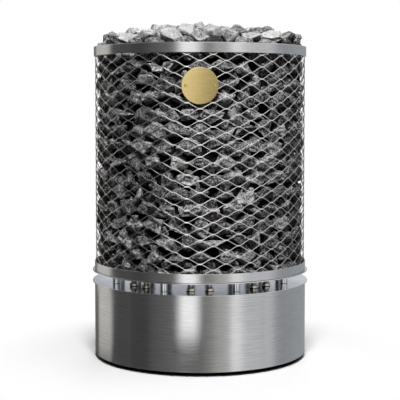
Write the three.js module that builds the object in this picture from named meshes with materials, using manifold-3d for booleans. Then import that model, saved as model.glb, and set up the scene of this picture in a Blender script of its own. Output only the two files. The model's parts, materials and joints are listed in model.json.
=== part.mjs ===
// A round electric sauna heater: a drum base on four levelling feet, an open air gap bridged by posts,
// and a basket of expanded metal filled with stones round six hairpin heating elements.
// Millimetres, +Z up. The front faces -Y and the origin is on the floor under the centre.
import * as THREE from 'three';
import { mergeVertices } from 'three/addons/utils/BufferGeometryUtils.js';
import Module from 'manifold-3d';

const wasm = await Module();
wasm.setup();

// Clearances
const SEAT = 0.3; // between pieces that rest on each other
const BORE_CLEARANCE = 0.4; // radial, round a shank in its hole
const STONE_CLEARANCE = 0.6; // round the stones

// Facets of round pieces
const WIDE_SIDES = 48;
const SMALL_SIDES = 12;
const TUBE_SIDES = 6;

// Base
const DRUM_RADIUS = 250;
const DRUM_WALL = 1.5;
const DRUM_HEIGHT = 168;
const DRUM_FLANGE = 12;
const FLOOR_GAP = 10; // from the floor to the drum's lower edge
const PLATE_OVERHANG = 5;
const TOP_PLATE_THICKNESS = 2;
const BOTTOM_PLATE_THICKNESS = 2;
const PLINTH_INSET = 5;
const PLINTH_WALL = 7;
const PLINTH_LIFT = 2;

// Levelling feet
const FOOT_COUNT = 4;
const FOOT_INSET = 60; // from the drum's outside to a foot's middle
const PAD_RADIUS = 25;
const PAD_HEIGHT = 4;
const PAD_HUB_RADIUS = 10;
const PAD_SOCKET_DEPTH = 7;
const STUD_RADIUS = 5;
const STUD_LENGTH = 52;
const STUD_KEY_FLATS = 7;
const STUD_KEY_HEIGHT = 6;
const BOSS_FLATS = 20;
const BOSS_HEIGHT = 14;

// Air gap
const AIR_GAP = 24;
const POST_COUNT = 8;
const POST_INSET = 40; // from the drum's outside to a post's middle
const POST_RADIUS = 9;

// Heating elements, as angles from the front
const ELEMENT_ANGLES = [0, 45, 135, 180, 225, 315];
const ELEMENT_INSET = 57.5; // from the drum's outside to the plane of a hairpin
const ELEMENT_SPREAD = 42; // between the two legs of a hairpin
const ELEMENT_RADIUS = 4.25;
const ELEMENT_RISE = 430; // from the basket plate to the top of the hairpin
const ELEMENT_BEND_STEPS = 6;
const BUSH_RADIUS = 6.8;
const BUSH_ABOVE = 13;
const BUSH_BELOW = 12;
const PIN_RADIUS = 2;
const PIN_LENGTH = 16;
const NUT_FLATS = 17;
const NUT_HEIGHT = 7;

// Basket
const BASKET_PLATE_THICKNESS = 2;
const BAND_WALL = 2;
const BAND_CHAMFER = 0.6;
const LOWER_BAND_HEIGHT = 20;
const TOP_BAND_HEIGHT = 22;
const RIM_RISE = 8; // from the net's upper edge to the rim
const NET_HEIGHT = 514;
const NET_RIM = 12; // plain edge of the net, behind the bands
const NET_DEPTH = 3.5;
const NET_COLUMNS = 14;
const NET_ROWS = 20; // rows of bonds above the first, two to a diamond
const NET_BOND_LENGTH = 11;
const NET_BOND_HEIGHT = 4.6;

// Stones
const STONE_COLUMNS = 28; // in one course behind the net
const STONE_COURSES = 15;
const STONE_FACE = 0.6; // share of a stone's place in the wall that its flat face takes up
const STONE_STRAY = 0.16; // share of a stone's place that its face may lie off the middle, all told
const STONE_ROLL = 0.45; // radians between the faces that are turned farthest to either side
const JOINT_STRAY = 0.14; // share of a course that a joint may lie off its level, all told
const STONE_BACK = 10; // most that a stone of the wall lies back from the stones' reach
const STONE_LEAN = 8; // most that one side of a face lies back from the other
const STONE_HOLLOW = 24; // deepest joint between the stones
const STONE_HOLLOW_VARIES = 0.3;
const STONE_HALF_LENGTH = 34;
const STONE_HALF_WIDTH = 29;
const STONE_HALF_HEIGHT = 23;
const STONE_VARIATION = 0.4;
const STONE_TILT = 0.8;
const CROWN_SINK = 2; // from the rim down to the edge of the bed that the heap lies on
const CROWN_SHOULDER = 150; // radius at which the bed levels out
const SHOULDER_RISE = 17; // from that edge up to the bed's shoulder
const CROWN_CORE = 22; // from that edge up to the bed's middle
const CROWN_RISE = 32; // of the middle stone's centre above the rim
const CROWN_FULLNESS = 4; // power of the radius by which the heap falls off
const CROWN_EDGE = 33; // from the stones' reach to the centres of the outermost ring
const CROWN_RING_STEP = 50;
const CROWN_PITCH = 60; // along a ring
const CROWN_SEEDS = 100; // numbers kept for the stones of one ring

// Brass plate at the front
const BADGE_RADIUS = 40;
const BADGE_THICKNESS = 2.5;
const BADGE_CHAMFER = 0.8;
const BADGE_ROWS_DOWN = 3; // from the net's last row to the openings that it is screwed through
const BADGE_SCREW_SPACING = 62;
const SCREW_RADIUS = 2;
const SCREW_HEAD_RADIUS = 3.2;
const SCREW_HEAD_HEIGHT = 1.6;
const SCREW_REACH = 3; // of the shank past the clamp bar
const CLAMP_BAR_LENGTH = 76;
const CLAMP_BAR_WIDTH = 12;
const CLAMP_BAR_THICKNESS = 2;

// Supply, inside the base
const GROMMET_HEIGHT = 45; // of the cable hole above the floor
const GROMMET_BORE = 9;
const GROMMET_NECK = 13;
const GROMMET_FLANGE = 17;
const GROMMET_LIP = 2;
const BRACKET_LENGTH = 190;
const BRACKET_WIDTH = 40;
const BRACKET_HEIGHT = 36;
const BRACKET_SHEET = 2;
const BRACKET_FLANGE = 14;
const BRACKET_BACK = 60; // behind the centre
const TERMINAL_SPACING = 90;
const TERMINAL_LENGTH = 70;
const TERMINAL_WIDTH = 32;
const TERMINAL_HEIGHT = 26;
const TERMINAL_WAYS = 4;
const TERMINAL_WALL = 3;
const TERMINAL_SLOT_DEPTH = 14;
const LOOM_RADIUS = 6;
const LOOM_DROP = 18; // from the pins down to the middle of the loom
const LEAD_RADIUS = 2;
const TAIL_RADIUS = 5;
const TAIL_STEPS = 6;
const LOOM_STEPS = 36;
const EARTH_STUD_SIDE = 45; // to the right of the cable hole
const EARTH_STUD_INSET = 40; // from the drum's wall
const EARTH_STUD_RADIUS = 4;
const EARTH_STUD_HEIGHT = 22;
const EARTH_HEAD_FLATS = 13;
const EARTH_HEAD_HEIGHT = 6;

// Heights, each worked out from the piece below it
const flangeTop = FLOOR_GAP + DRUM_WALL;
const bottomPlateLow = flangeTop + SEAT;
const bottomPlateTop = bottomPlateLow + BOTTOM_PLATE_THICKNESS;
const drumTop = FLOOR_GAP + DRUM_HEIGHT;
const topPlateLow = drumTop + SEAT;
const topPlateTop = topPlateLow + TOP_PLATE_THICKNESS;
const basketPlateLow = topPlateTop + AIR_GAP;
const basketPlateTop = basketPlateLow + BASKET_PLATE_THICKNESS;
const basketFloor = basketPlateTop + SEAT;
const netTop = basketFloor + NET_HEIGHT;
const rimTop = netTop + RIM_RISE;
const pinLow = topPlateLow - BUSH_BELOW - PIN_LENGTH;
const loomHeight = pinLow - LOOM_DROP;

// Radii, each worked out from the piece round it. A facet's middle lies nearer the axis than its corners.
const facetMiddle = (radius, sides) => radius * Math.cos(Math.PI / sides);
const drumInner = DRUM_RADIUS - DRUM_WALL;
const plateRadius = DRUM_RADIUS + PLATE_OVERHANG;
const bandInner = DRUM_RADIUS - BAND_WALL;
const netOuter = facetMiddle(bandInner, WIDE_SIDES) - SEAT;
const netInner = netOuter - NET_DEPTH;
const stoneReach = facetMiddle(netInner, 2 * NET_COLUMNS) - STONE_CLEARANCE;
const stoneWallTop = rimTop - CROWN_SINK;
const stoneCourse = (stoneWallTop - basketFloor) / STONE_COURSES;
const stonePitch = (2 * Math.PI * stoneReach) / STONE_COLUMNS;
const footCircle = DRUM_RADIUS - FOOT_INSET;
const postCircle = DRUM_RADIUS - POST_INSET;
const elementCircle = DRUM_RADIUS - ELEMENT_INSET;

// Rows of the net
const netFirstRow = basketFloor + NET_RIM;
const netRowStep = (NET_HEIGHT - 2 * NET_RIM) / NET_ROWS;
const netRowHeight = (row) => netFirstRow + row * netRowStep;
const badgeHeight = netRowHeight(NET_ROWS - BADGE_ROWS_DOWN);
const badgeBack = netOuter + SEAT;
const clampBarFront = facetMiddle(netInner, 2 * NET_COLUMNS) - SEAT;

const radians = (degrees) => (degrees * Math.PI) / 180;

// Finishes
const finish = (color, roughness, metalness) =>
  new THREE.MeshStandardMaterial({ color, roughness, metalness });
const BRUSHED_STEEL = finish(0xb4b5b6, 0.35, 1);
const POLISHED_STEEL = finish(0xcdced0, 0.12, 1);
const NET_STEEL = finish(0xa9a8a4, 0.4, 1);
const BLACK_RUBBER = finish(0x101010, 0.8, 0);
const ZINC_STEEL = finish(0x9a9c9e, 0.45, 1);
const ELEMENT_STEEL = finish(0x8a867c, 0.4, 1);
const BRASS = finish(0xc3a455, 0.35, 1);
const STONE = finish(0x77767a, 0.9, 0);
const PORCELAIN = finish(0xe6e2d6, 0.5, 0);
const SILICONE = finish(0xb9b3a6, 0.7, 0);

// Booleans
function toSolid(geometry) {
  const bare = geometry.clone();
  bare.deleteAttribute('normal');
  bare.deleteAttribute('uv');
  const merged = mergeVertices(bare, 1e-4);
  return new wasm.Manifold(
    new wasm.Mesh({
      numProp: 3,
      vertProperties: new Float32Array(merged.attributes.position.array),
      triVerts: new Uint32Array(merged.index.array),
    }),
  );
}

function toGeometry(solid) {
  const mesh = solid.getMesh();
  const geometry = new THREE.BufferGeometry();
  geometry.setAttribute('position', new THREE.BufferAttribute(mesh.vertProperties, 3));
  geometry.setIndex(new THREE.BufferAttribute(mesh.triVerts, 1));
  return geometry;
}

const join = (...geometries) =>
  toGeometry(geometries.map(toSolid).reduce((whole, piece) => whole.add(piece)));
const cut = (geometry, ...tools) =>
  toGeometry(tools.map(toSolid).reduce((whole, tool) => whole.subtract(tool), toSolid(geometry)));

// Shapes
const ngon = (radius, sides, x = 0, y = 0, turn = 0) =>
  Array.from({ length: sides }, (_, i) => {
    const angle = turn + (i * 2 * Math.PI) / sides;
    return new THREE.Vector2(x + radius * Math.cos(angle), y + radius * Math.sin(angle));
  });

const hexagon = (flats) => ngon(flats / Math.sqrt(3), 6);

// A plate of constant thickness with round holes, from its outline's points.
function plate(outline, holes, low, thickness) {
  const shape = new THREE.Shape(outline);
  shape.holes = holes.map((points) => new THREE.Path(points));
  return new THREE.ExtrudeGeometry(shape, { depth: thickness, bevelEnabled: false }).translate(0, 0, low);
}

// A body turned about Z from [radius, height] points that run up its outside and down its inside.
function turned(profile, sides) {
  const points = profile.map(([radius, height]) => new THREE.Vector2(radius, height));
  const first = points[0];
  if (first.x > 0) {
    points.push(first.clone());
  }
  return new THREE.LatheGeometry(points, sides).rotateX(Math.PI / 2);
}

const ring = (inner, outer, low, high, sides) =>
  turned([[outer, low], [outer, high], [inner, high], [inner, low]], sides);

const rod = (radius, low, high, sides) => turned([[0, low], [radius, low], [radius, high], [0, high]], sides);

const block = (width, depth, height) => new THREE.BoxGeometry(width, depth, height);

// A tube with flat ends along points in one plane, whose normal is side.
function tube(points, radius, sides, side) {
  const positions = [];
  const faces = [];
  points.forEach((point, i) => {
    const ahead = points[Math.min(i + 1, points.length - 1)];
    const behind = points[Math.max(i - 1, 0)];
    const across = new THREE.Vector3().subVectors(ahead, behind).normalize().cross(side);
    for (let k = 0; k < sides; k += 1) {
      const angle = ((k + 0.5) * 2 * Math.PI) / sides;
      const vertex = point
        .clone()
        .addScaledVector(across, radius * Math.cos(angle))
        .addScaledVector(side, radius * Math.sin(angle));
      positions.push(vertex.x, vertex.y, vertex.z);
    }
  });
  for (let i = 0; i + 1 < points.length; i += 1) {
    for (let k = 0; k < sides; k += 1) {
      const next = (k + 1) % sides;
      const [a, b, c, d] = [i * sides + k, i * sides + next, (i + 1) * sides + next, (i + 1) * sides + k];
      faces.push(a, d, c, a, c, b);
    }
  }
  const last = (points.length - 1) * sides;
  for (let k = 1; k + 1 < sides; k += 1) {
    faces.push(0, k, k + 1, last, last + k + 1, last + k);
  }
  const geometry = new THREE.BufferGeometry();
  geometry.setAttribute('position', new THREE.Float32BufferAttribute(positions, 3));
  geometry.setIndex(faces);
  return geometry;
}

// Where a piece stands on a circle, with the angle measured from the front towards +X.
const onCircle = (radius, degrees) =>
  new THREE.Vector2(radius * Math.sin(radians(degrees)), -radius * Math.cos(radians(degrees)));

const elementLegs = ELEMENT_ANGLES.flatMap((degrees) =>
  [-1, 1].map((sign) => {
    const along = onCircle((sign * ELEMENT_SPREAD) / 2, degrees + 90);
    return onCircle(elementCircle, degrees).add(along);
  }),
);
const legHoles = (radius) => elementLegs.map((leg) => ngon(radius, SMALL_SIDES, leg.x, leg.y));
const evenAngles = (count, start) => Array.from({ length: count }, (_, i) => start + (i * 360) / count);
const footPlaces = evenAngles(FOOT_COUNT, 180 / FOOT_COUNT).map((degrees) => onCircle(footCircle, degrees));
const postPlaces = evenAngles(POST_COUNT, 180 / POST_COUNT).map((degrees) => onCircle(postCircle, degrees));

// Base
function baseDrum() {
  const flangeInner = drumInner - DRUM_FLANGE;
  const shell = turned(
    [
      [DRUM_RADIUS, FLOOR_GAP],
      [DRUM_RADIUS, drumTop],
      [drumInner, drumTop],
      [drumInner, flangeTop],
      [flangeInner, flangeTop],
      [flangeInner, FLOOR_GAP],
    ],
    WIDE_SIDES,
  );
  const cableHole = rod(GROMMET_NECK + BORE_CLEARANCE, 0, DRUM_RADIUS * 2, SMALL_SIDES);
  return cut(shell, cableHole.rotateX(-Math.PI / 2).translate(0, 0, GROMMET_HEIGHT));
}

function plinthRing() {
  const outer = DRUM_RADIUS - PLINTH_INSET;
  return ring(outer - PLINTH_WALL, outer, PLINTH_LIFT, FLOOR_GAP - SEAT, WIDE_SIDES);
}

function baseBottomPlate() {
  const outline = ngon(facetMiddle(drumInner, WIDE_SIDES) - SEAT, WIDE_SIDES);
  const holeRadius = STUD_RADIUS + BORE_CLEARANCE;
  const studHoles = footPlaces.map((place) => ngon(holeRadius, SMALL_SIDES, place.x, place.y));
  return plate(outline, studHoles, bottomPlateLow, BOTTOM_PLATE_THICKNESS);
}

const baseTopPlate = () =>
  plate(
    ngon(plateRadius, WIDE_SIDES),
    legHoles(BUSH_RADIUS + BORE_CLEARANCE),
    topPlateLow,
    TOP_PLATE_THICKNESS,
  );

// Levelling feet, screwed in until the pad's hub meets the bottom plate
const hubTop = bottomPlateLow - SEAT;
const socketFloor = hubTop - PAD_SOCKET_DEPTH;
const studFoot = socketFloor + SEAT;

function footPad() {
  const socketRadius = STUD_RADIUS + BORE_CLEARANCE;
  return turned(
    [
      [0, 0],
      [PAD_RADIUS, 0],
      [PAD_RADIUS, PAD_HEIGHT / 2],
      [PAD_HUB_RADIUS, PAD_HEIGHT],
      [PAD_HUB_RADIUS, hubTop],
      [socketRadius, hubTop],
      [socketRadius, socketFloor],
      [0, socketFloor],
    ],
    SMALL_SIDES,
  );
}

function footStud() {
  const shank = rod(STUD_RADIUS, studFoot, studFoot + STUD_LENGTH, SMALL_SIDES);
  const keyLow = studFoot + STUD_LENGTH - SEAT;
  return join(shank, plate(hexagon(STUD_KEY_FLATS), [], keyLow, STUD_KEY_HEIGHT + SEAT));
}

function footBoss() {
  const bore = ngon(STUD_RADIUS + BORE_CLEARANCE, SMALL_SIDES);
  return plate(hexagon(BOSS_FLATS), [bore], bottomPlateTop + SEAT, BOSS_HEIGHT);
}

// Air gap
const post = () => rod(POST_RADIUS, topPlateTop + SEAT, basketPlateLow - SEAT, SMALL_SIDES);

// Heating elements
function heatingElement() {
  const bendRadius = ELEMENT_SPREAD / 2;
  const bendHeight = basketPlateTop + ELEMENT_RISE - ELEMENT_RADIUS - bendRadius;
  const legLow = topPlateLow - BUSH_BELOW + SEAT;
  const path = [new THREE.Vector3(-bendRadius, 0, legLow)];
  for (let i = 0; i <= ELEMENT_BEND_STEPS; i += 1) {
    const angle = Math.PI * (1 - i / ELEMENT_BEND_STEPS);
    path.push(new THREE.Vector3(bendRadius * Math.cos(angle), 0, bendHeight + bendRadius * Math.sin(angle)));
  }
  path.push(new THREE.Vector3(bendRadius, 0, legLow));
  const hairpin = tube(path, ELEMENT_RADIUS, TUBE_SIDES, new THREE.Vector3(0, 1, 0));
  const ends = [-bendRadius, bendRadius].flatMap((x) => {
    const bush = rod(BUSH_RADIUS, topPlateLow - BUSH_BELOW, topPlateTop + BUSH_ABOVE, SMALL_SIDES);
    const pin = rod(PIN_RADIUS, pinLow, topPlateLow, TUBE_SIDES);
    return [bush.translate(x, 0, 0), pin.translate(x, 0, 0)];
  });
  return join(hairpin, ...ends);
}

function elementNut() {
  const bore = ngon(BUSH_RADIUS + BORE_CLEARANCE, SMALL_SIDES);
  return plate(hexagon(NUT_FLATS), [bore], topPlateTop + SEAT, NUT_HEIGHT);
}

// Basket
const basketPlate = () =>
  plate(
    ngon(plateRadius, WIDE_SIDES),
    legHoles(ELEMENT_RADIUS + BORE_CLEARANCE),
    basketPlateLow,
    BASKET_PLATE_THICKNESS,
  );

function band(low, height) {
  const high = low + height;
  return turned(
    [
      [DRUM_RADIUS, low],
      [DRUM_RADIUS, high - BAND_CHAMFER],
      [DRUM_RADIUS - BAND_CHAMFER, high],
      [bandInner, high],
      [bandInner, low],
    ],
    WIDE_SIDES,
  );
}

// The net: bonds of four outer corners and one inner ridge point, strands between them, and a plain
// edge at the top and bottom that the bands cover.
function basketNet() {
  const positions = [];
  const faces = [];
  const vertex = (radius, angle, height) => {
    positions.push(radius * Math.sin(angle), -radius * Math.cos(angle), height);
    return positions.length / 3 - 1;
  };
  const quad = (a, b, c, d) => faces.push(a, b, c, a, c, d);
  const step = (2 * Math.PI) / NET_COLUMNS;
  const bondAngle = NET_BOND_LENGTH / 2 / netOuter;
  const bonds = Array.from({ length: NET_ROWS + 1 }, (_, row) =>
    Array.from({ length: NET_COLUMNS }, (__, column) => {
      const angle = (column + (row % 2) / 2) * step;
      const height = netRowHeight(row);
      return {
        left: vertex(netOuter, angle - bondAngle, height),
        right: vertex(netOuter, angle + bondAngle, height),
        up: vertex(netOuter, angle, height + NET_BOND_HEIGHT / 2),
        down: vertex(netOuter, angle, height - NET_BOND_HEIGHT / 2),
        ridge: vertex(netInner, angle, height),
      };
    }),
  );
  const bond = (row, column) => bonds[row][(column + NET_COLUMNS) % NET_COLUMNS];
  const rightOf = (row, column) => bond(row + 1, column + (row % 2));
  const leftOf = (row, column) => bond(row + 1, column + (row % 2) - 1);
  // The walls of an opening, from its corners in anticlockwise order.
  const walls = (corners) =>
    corners.forEach(([outer, inner], i) => {
      const [nextOuter, nextInner] = corners[(i + 1) % corners.length];
      quad(outer, nextOuter, nextInner, inner);
    });

  for (let row = 0; row < NET_ROWS; row += 1) {
    for (let column = 0; column < NET_COLUMNS; column += 1) {
      const here = bond(row, column);
      const right = rightOf(row, column);
      const left = leftOf(row, column);
      quad(here.right, right.down, right.left, here.up);
      quad(here.left, here.up, left.right, left.down);
      if (row > 0) {
        quad(here.left, here.down, here.right, here.up);
      }
      if (row + 2 <= NET_ROWS) {
        const top = bond(row + 2, column);
        walls([
          [left.right, left.ridge],
          [here.up, here.ridge],
          [right.left, right.ridge],
          [top.down, top.ridge],
        ]);
      }
    }
  }

  // A plain edge, seen as an upper one; flip turns every face of the lower one over.
  const edge = (row, height, flip) => {
    const face = (...corners) => quad(...(flip ? corners.reverse() : corners));
    const far = Array.from({ length: NET_COLUMNS }, (_, column) => {
      const angle = column * step;
      return {
        left: vertex(netOuter, angle - bondAngle, height),
        right: vertex(netOuter, angle + bondAngle, height),
        ridge: vertex(netInner, angle, height),
        middle: vertex(netOuter, angle + step / 2, height),
        middleRidge: vertex(netInner, angle + step / 2, height),
        nearMiddle: vertex(netOuter, angle + step / 2, netRowHeight(row)),
        nearMiddleRidge: vertex(netInner, angle + step / 2, netRowHeight(row)),
      };
    });
    for (let column = 0; column < NET_COLUMNS; column += 1) {
      const near = bond(row, column);
      const nearNext = bond(row, column + 1);
      const here = far[column];
      const next = far[(column + 1) % NET_COLUMNS];
      face(near.left, near.right, here.right, here.left);
      face(near.right, here.nearMiddle, here.middle, here.right);
      face(here.nearMiddle, nearNext.left, next.left, here.middle);
      face(near.ridge, here.ridge, here.middleRidge, here.nearMiddleRidge);
      face(here.nearMiddleRidge, here.middleRidge, next.ridge, nearNext.ridge);
      face(here.right, here.middle, here.middleRidge, here.ridge);
      face(here.middle, next.left, next.ridge, here.middleRidge);
      const cap = flip ? [near.left, near.right, near.up] : [near.left, near.down, near.right];
      const end = [here.left, here.right, here.ridge];
      faces.push(...cap, ...(flip ? end.reverse() : end));
      const inward = flip ? bond(1, column) : bond(row - 1, column);
      const opening = flip
        ? [
            [near.right, near.ridge],
            [here.nearMiddle, here.nearMiddleRidge],
            [nearNext.left, nearNext.ridge],
            [inward.down, inward.ridge],
          ]
        : [
            [near.right, near.ridge],
            [inward.up, inward.ridge],
            [nearNext.left, nearNext.ridge],
            [here.nearMiddle, here.nearMiddleRidge],
          ];
      walls(opening);
    }
  };
  edge(0, basketFloor, true);
  edge(NET_ROWS, netTop, false);

  const geometry = new THREE.BufferGeometry();
  geometry.setAttribute('position', new THREE.Float32BufferAttribute(positions, 3));
  geometry.setIndex(faces);
  return geometry;
}

// Stones
// A repeatable number from 0 to 1 for a stone and a trait of it.
function chance(stone, trait) {
  const wave = Math.sin(stone * 12.9898 + trait * 78.233) * 43758.5453;
  return wave - Math.floor(wave);
}

// The flat face of one stone of the wall, as four corners from the lower left one on.
function stoneFace(course, column) {
  const stone = course * STONE_COLUMNS + column;
  const stray = (trait) => STONE_STRAY * (chance(stone, trait) - 0.5);
  const lean = STONE_LEAN * (chance(stone, 2) - 0.5);
  const nod = STONE_LEAN * (chance(stone, 3) - 0.5);
  const nearest = stoneReach - STONE_BACK * chance(stone, 1) - Math.abs(lean) - Math.abs(nod);
  const middle = stonePitch * (column + 0.5 + (course % 2) / 2 + stray(4));
  const level = stoneCourse * (course + 0.5 + stray(5));
  const roll = STONE_ROLL * (chance(stone, 6) - 0.5);
  return [[-1, -1], [1, -1], [1, 1], [-1, 1]].map(([side, up]) => {
    const corner = new THREE.Vector2(side * stonePitch, up * stoneCourse)
      .multiplyScalar(STONE_FACE / 2)
      .rotateAround(new THREE.Vector2(), roll);
    const degrees = THREE.MathUtils.radToDeg((middle + corner.x) / stoneReach);
    const place = onCircle(nearest + side * lean + up * nod, degrees);
    return [place.x, place.y, basketFloor + level + corner.y];
  });
}

// The mass of stones behind the net: a round body with a wall of staggered stones.
function stoneMass() {
  const joints = 2 * STONE_COLUMNS;
  const positions = [0, 0, basketFloor, 0, 0, stoneWallTop + CROWN_CORE];
  const faces = [];
  const joint = (row, place) => 2 + row * joints + (place % joints);
  for (let row = 0; row <= STONE_COURSES; row += 1) {
    for (let place = 0; place < joints; place += 1) {
      const hollow = STONE_HOLLOW * (1 - STONE_HOLLOW_VARIES * chance(row * joints + place, 8));
      const spot = onCircle(stoneReach - hollow, (place * 360) / joints);
      const isInside = row > 0 && row < STONE_COURSES;
      const stray = isInside ? JOINT_STRAY * (chance(row * joints + place, 9) - 0.5) : 0;
      positions.push(spot.x, spot.y, basketFloor + (row + stray) * stoneCourse);
    }
  }
  const [edge, shoulder] = [STONE_COURSES, STONE_COURSES + 1];
  for (let place = 0; place < joints; place += 1) {
    const spot = onCircle(CROWN_SHOULDER, (place * 360) / joints);
    positions.push(spot.x, spot.y, stoneWallTop + SHOULDER_RISE);
    const [a, b] = [joint(edge, place), joint(edge, place + 1)];
    const [c, d] = [joint(shoulder, place + 1), joint(shoulder, place)];
    faces.push(0, joint(0, place + 1), joint(0, place), a, b, c, a, c, d, 1, d, c);
  }
  for (let course = 0; course < STONE_COURSES; course += 1) {
    for (let column = 0; column < STONE_COLUMNS; column += 1) {
      const first = 2 * column + (course % 2);
      const low = [0, 1, 2].map((step) => joint(course, first + step));
      const high = [0, 1, 2].map((step) => joint(course + 1, first + step));
      const a = positions.length / 3;
      const [b, c, d] = [a + 1, a + 2, a + 3];
      positions.push(...stoneFace(course, column).flat());
      faces.push(a, b, c, a, c, d);
      faces.push(low[0], low[1], a, low[1], b, a, low[1], low[2], b);
      faces.push(low[2], high[2], c, low[2], c, b);
      faces.push(high[2], high[1], c, high[1], d, c, high[1], high[0], d);
      faces.push(high[0], low[0], a, high[0], a, d);
    }
  }
  const geometry = new THREE.BufferGeometry();
  geometry.setAttribute('position', new THREE.Float32BufferAttribute(positions, 3));
  geometry.setIndex(faces);
  return geometry;
}

// One stone of the heap, lying in its ring.
function crownStone(stone, radius, degrees, height) {
  const size = (half, trait) => half * (1 + STONE_VARIATION * (chance(stone, trait) - 0.5));
  const tilt = (trait) => STONE_TILT * (chance(stone, trait) - 0.5);
  const place = onCircle(radius, degrees);
  return new THREE.IcosahedronGeometry(1, 0)
    .scale(size(STONE_HALF_LENGTH, 2), size(STONE_HALF_WIDTH, 3), size(STONE_HALF_HEIGHT, 4))
    .rotateX(tilt(5))
    .rotateY(tilt(6))
    .rotateZ(radians(degrees) + tilt(7))
    .translate(place.x, place.y, height);
}

// The radii of the heap's rings, from the outermost to the middle stone.
function crownRings() {
  const rings = [];
  for (let radius = stoneReach - CROWN_EDGE; radius > CROWN_RING_STEP / 2; radius -= CROWN_RING_STEP) {
    rings.push(radius);
  }
  return [...rings, 0];
}

function stoneBed() {
  const heap = crownRings().flatMap((radius, row) => {
    const count = Math.max(1, Math.round((2 * Math.PI * radius) / CROWN_PITCH));
    const height = rimTop + CROWN_RISE * (1 - (radius / stoneReach) ** CROWN_FULLNESS);
    return evenAngles(count, (row * 180) / count).map((degrees, i) =>
      crownStone(row * CROWN_SEEDS + i, radius, degrees, height),
    );
  });
  const slotWidth = ELEMENT_SPREAD + 2 * (ELEMENT_RADIUS + STONE_CLEARANCE);
  const slotDepth = 2 * (ELEMENT_RADIUS + STONE_CLEARANCE);
  const slotTop = basketPlateTop + ELEMENT_RISE + STONE_CLEARANCE;
  const slots = ELEMENT_ANGLES.map((degrees) => {
    const place = onCircle(elementCircle, degrees);
    const slot = block(slotWidth, slotDepth, slotTop).translate(0, 0, slotTop / 2);
    return slot.rotateZ(radians(degrees)).translate(place.x, place.y, 0);
  });
  const pocketBack = clampBarFront - CLAMP_BAR_THICKNESS - SCREW_REACH - STONE_CLEARANCE;
  const pocketDepth = DRUM_RADIUS - pocketBack;
  const pocket = block(
    CLAMP_BAR_LENGTH + 2 * STONE_CLEARANCE,
    pocketDepth,
    CLAMP_BAR_WIDTH + 2 * STONE_CLEARANCE,
  ).translate(0, -(pocketBack + pocketDepth / 2), badgeHeight);
  return cut(join(stoneMass(), ...heap), ...slots, pocket);
}

// Brass plate: built lying down with its face up, then stood at the front.
const standAtFront = (geometry) => geometry.rotateX(Math.PI / 2).translate(0, 0, badgeHeight);
const screwHoles = (radius) =>
  [-1, 1].map((sign) => ngon(radius, SMALL_SIDES, (sign * BADGE_SCREW_SPACING) / 2, 0));
const badgeFace = badgeBack + BADGE_THICKNESS;

function badgePlate() {
  const disc = turned(
    [
      [0, badgeBack],
      [BADGE_RADIUS, badgeBack],
      [BADGE_RADIUS, badgeFace - BADGE_CHAMFER],
      [BADGE_RADIUS - BADGE_CHAMFER, badgeFace],
      [0, badgeFace],
    ],
    WIDE_SIDES,
  );
  const drills = screwHoles(SCREW_RADIUS + BORE_CLEARANCE).map((outline) =>
    plate(outline, [], 0, DRUM_RADIUS * 2),
  );
  return standAtFront(cut(disc, ...drills));
}

function badgeClampBar() {
  const [x, y] = [CLAMP_BAR_LENGTH / 2, CLAMP_BAR_WIDTH / 2];
  const outline = [
    new THREE.Vector2(-x, -y),
    new THREE.Vector2(x, -y),
    new THREE.Vector2(x, y),
    new THREE.Vector2(-x, y),
  ];
  const low = clampBarFront - CLAMP_BAR_THICKNESS;
  return standAtFront(plate(outline, screwHoles(SCREW_RADIUS + BORE_CLEARANCE), low, CLAMP_BAR_THICKNESS));
}

function badgeScrew(sign) {
  const headLow = badgeFace + SEAT;
  const tip = clampBarFront - CLAMP_BAR_THICKNESS - SCREW_REACH;
  const screw = turned(
    [
      [0, tip],
      [SCREW_RADIUS, tip],
      [SCREW_RADIUS, headLow],
      [SCREW_HEAD_RADIUS, headLow],
      [SCREW_HEAD_RADIUS, headLow + SCREW_HEAD_HEIGHT / 2],
      [SCREW_HEAD_RADIUS / 2, headLow + SCREW_HEAD_HEIGHT],
      [0, headLow + SCREW_HEAD_HEIGHT],
    ],
    SMALL_SIDES,
  );
  return standAtFront(screw.translate((sign * BADGE_SCREW_SPACING) / 2, 0, 0));
}

// Supply
function cableGrommet() {
  const outsideFace = DRUM_RADIUS + SEAT;
  const wallSag = drumInner - Math.sqrt(drumInner ** 2 - GROMMET_FLANGE ** 2);
  const insideFace = facetMiddle(drumInner, WIDE_SIDES) - wallSag - SEAT;
  return turned(
    [
      [GROMMET_BORE, insideFace - GROMMET_LIP],
      [GROMMET_FLANGE, insideFace - GROMMET_LIP],
      [GROMMET_FLANGE, insideFace],
      [GROMMET_NECK, insideFace],
      [GROMMET_NECK, outsideFace],
      [GROMMET_FLANGE, outsideFace],
      [GROMMET_FLANGE, outsideFace + GROMMET_LIP],
      [GROMMET_BORE, outsideFace + GROMMET_LIP],
    ],
    SMALL_SIDES,
  )
    .rotateX(-Math.PI / 2)
    .translate(0, 0, GROMMET_HEIGHT);
}

const bracketLow = bottomPlateTop + SEAT;
const bracketTop = bracketLow + BRACKET_HEIGHT;

// Stands a profile drawn in Y and Z along X.
const alongX = (geometry, length) =>
  geometry.translate(0, 0, -length / 2).rotateZ(Math.PI / 2).rotateY(Math.PI / 2);

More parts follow.
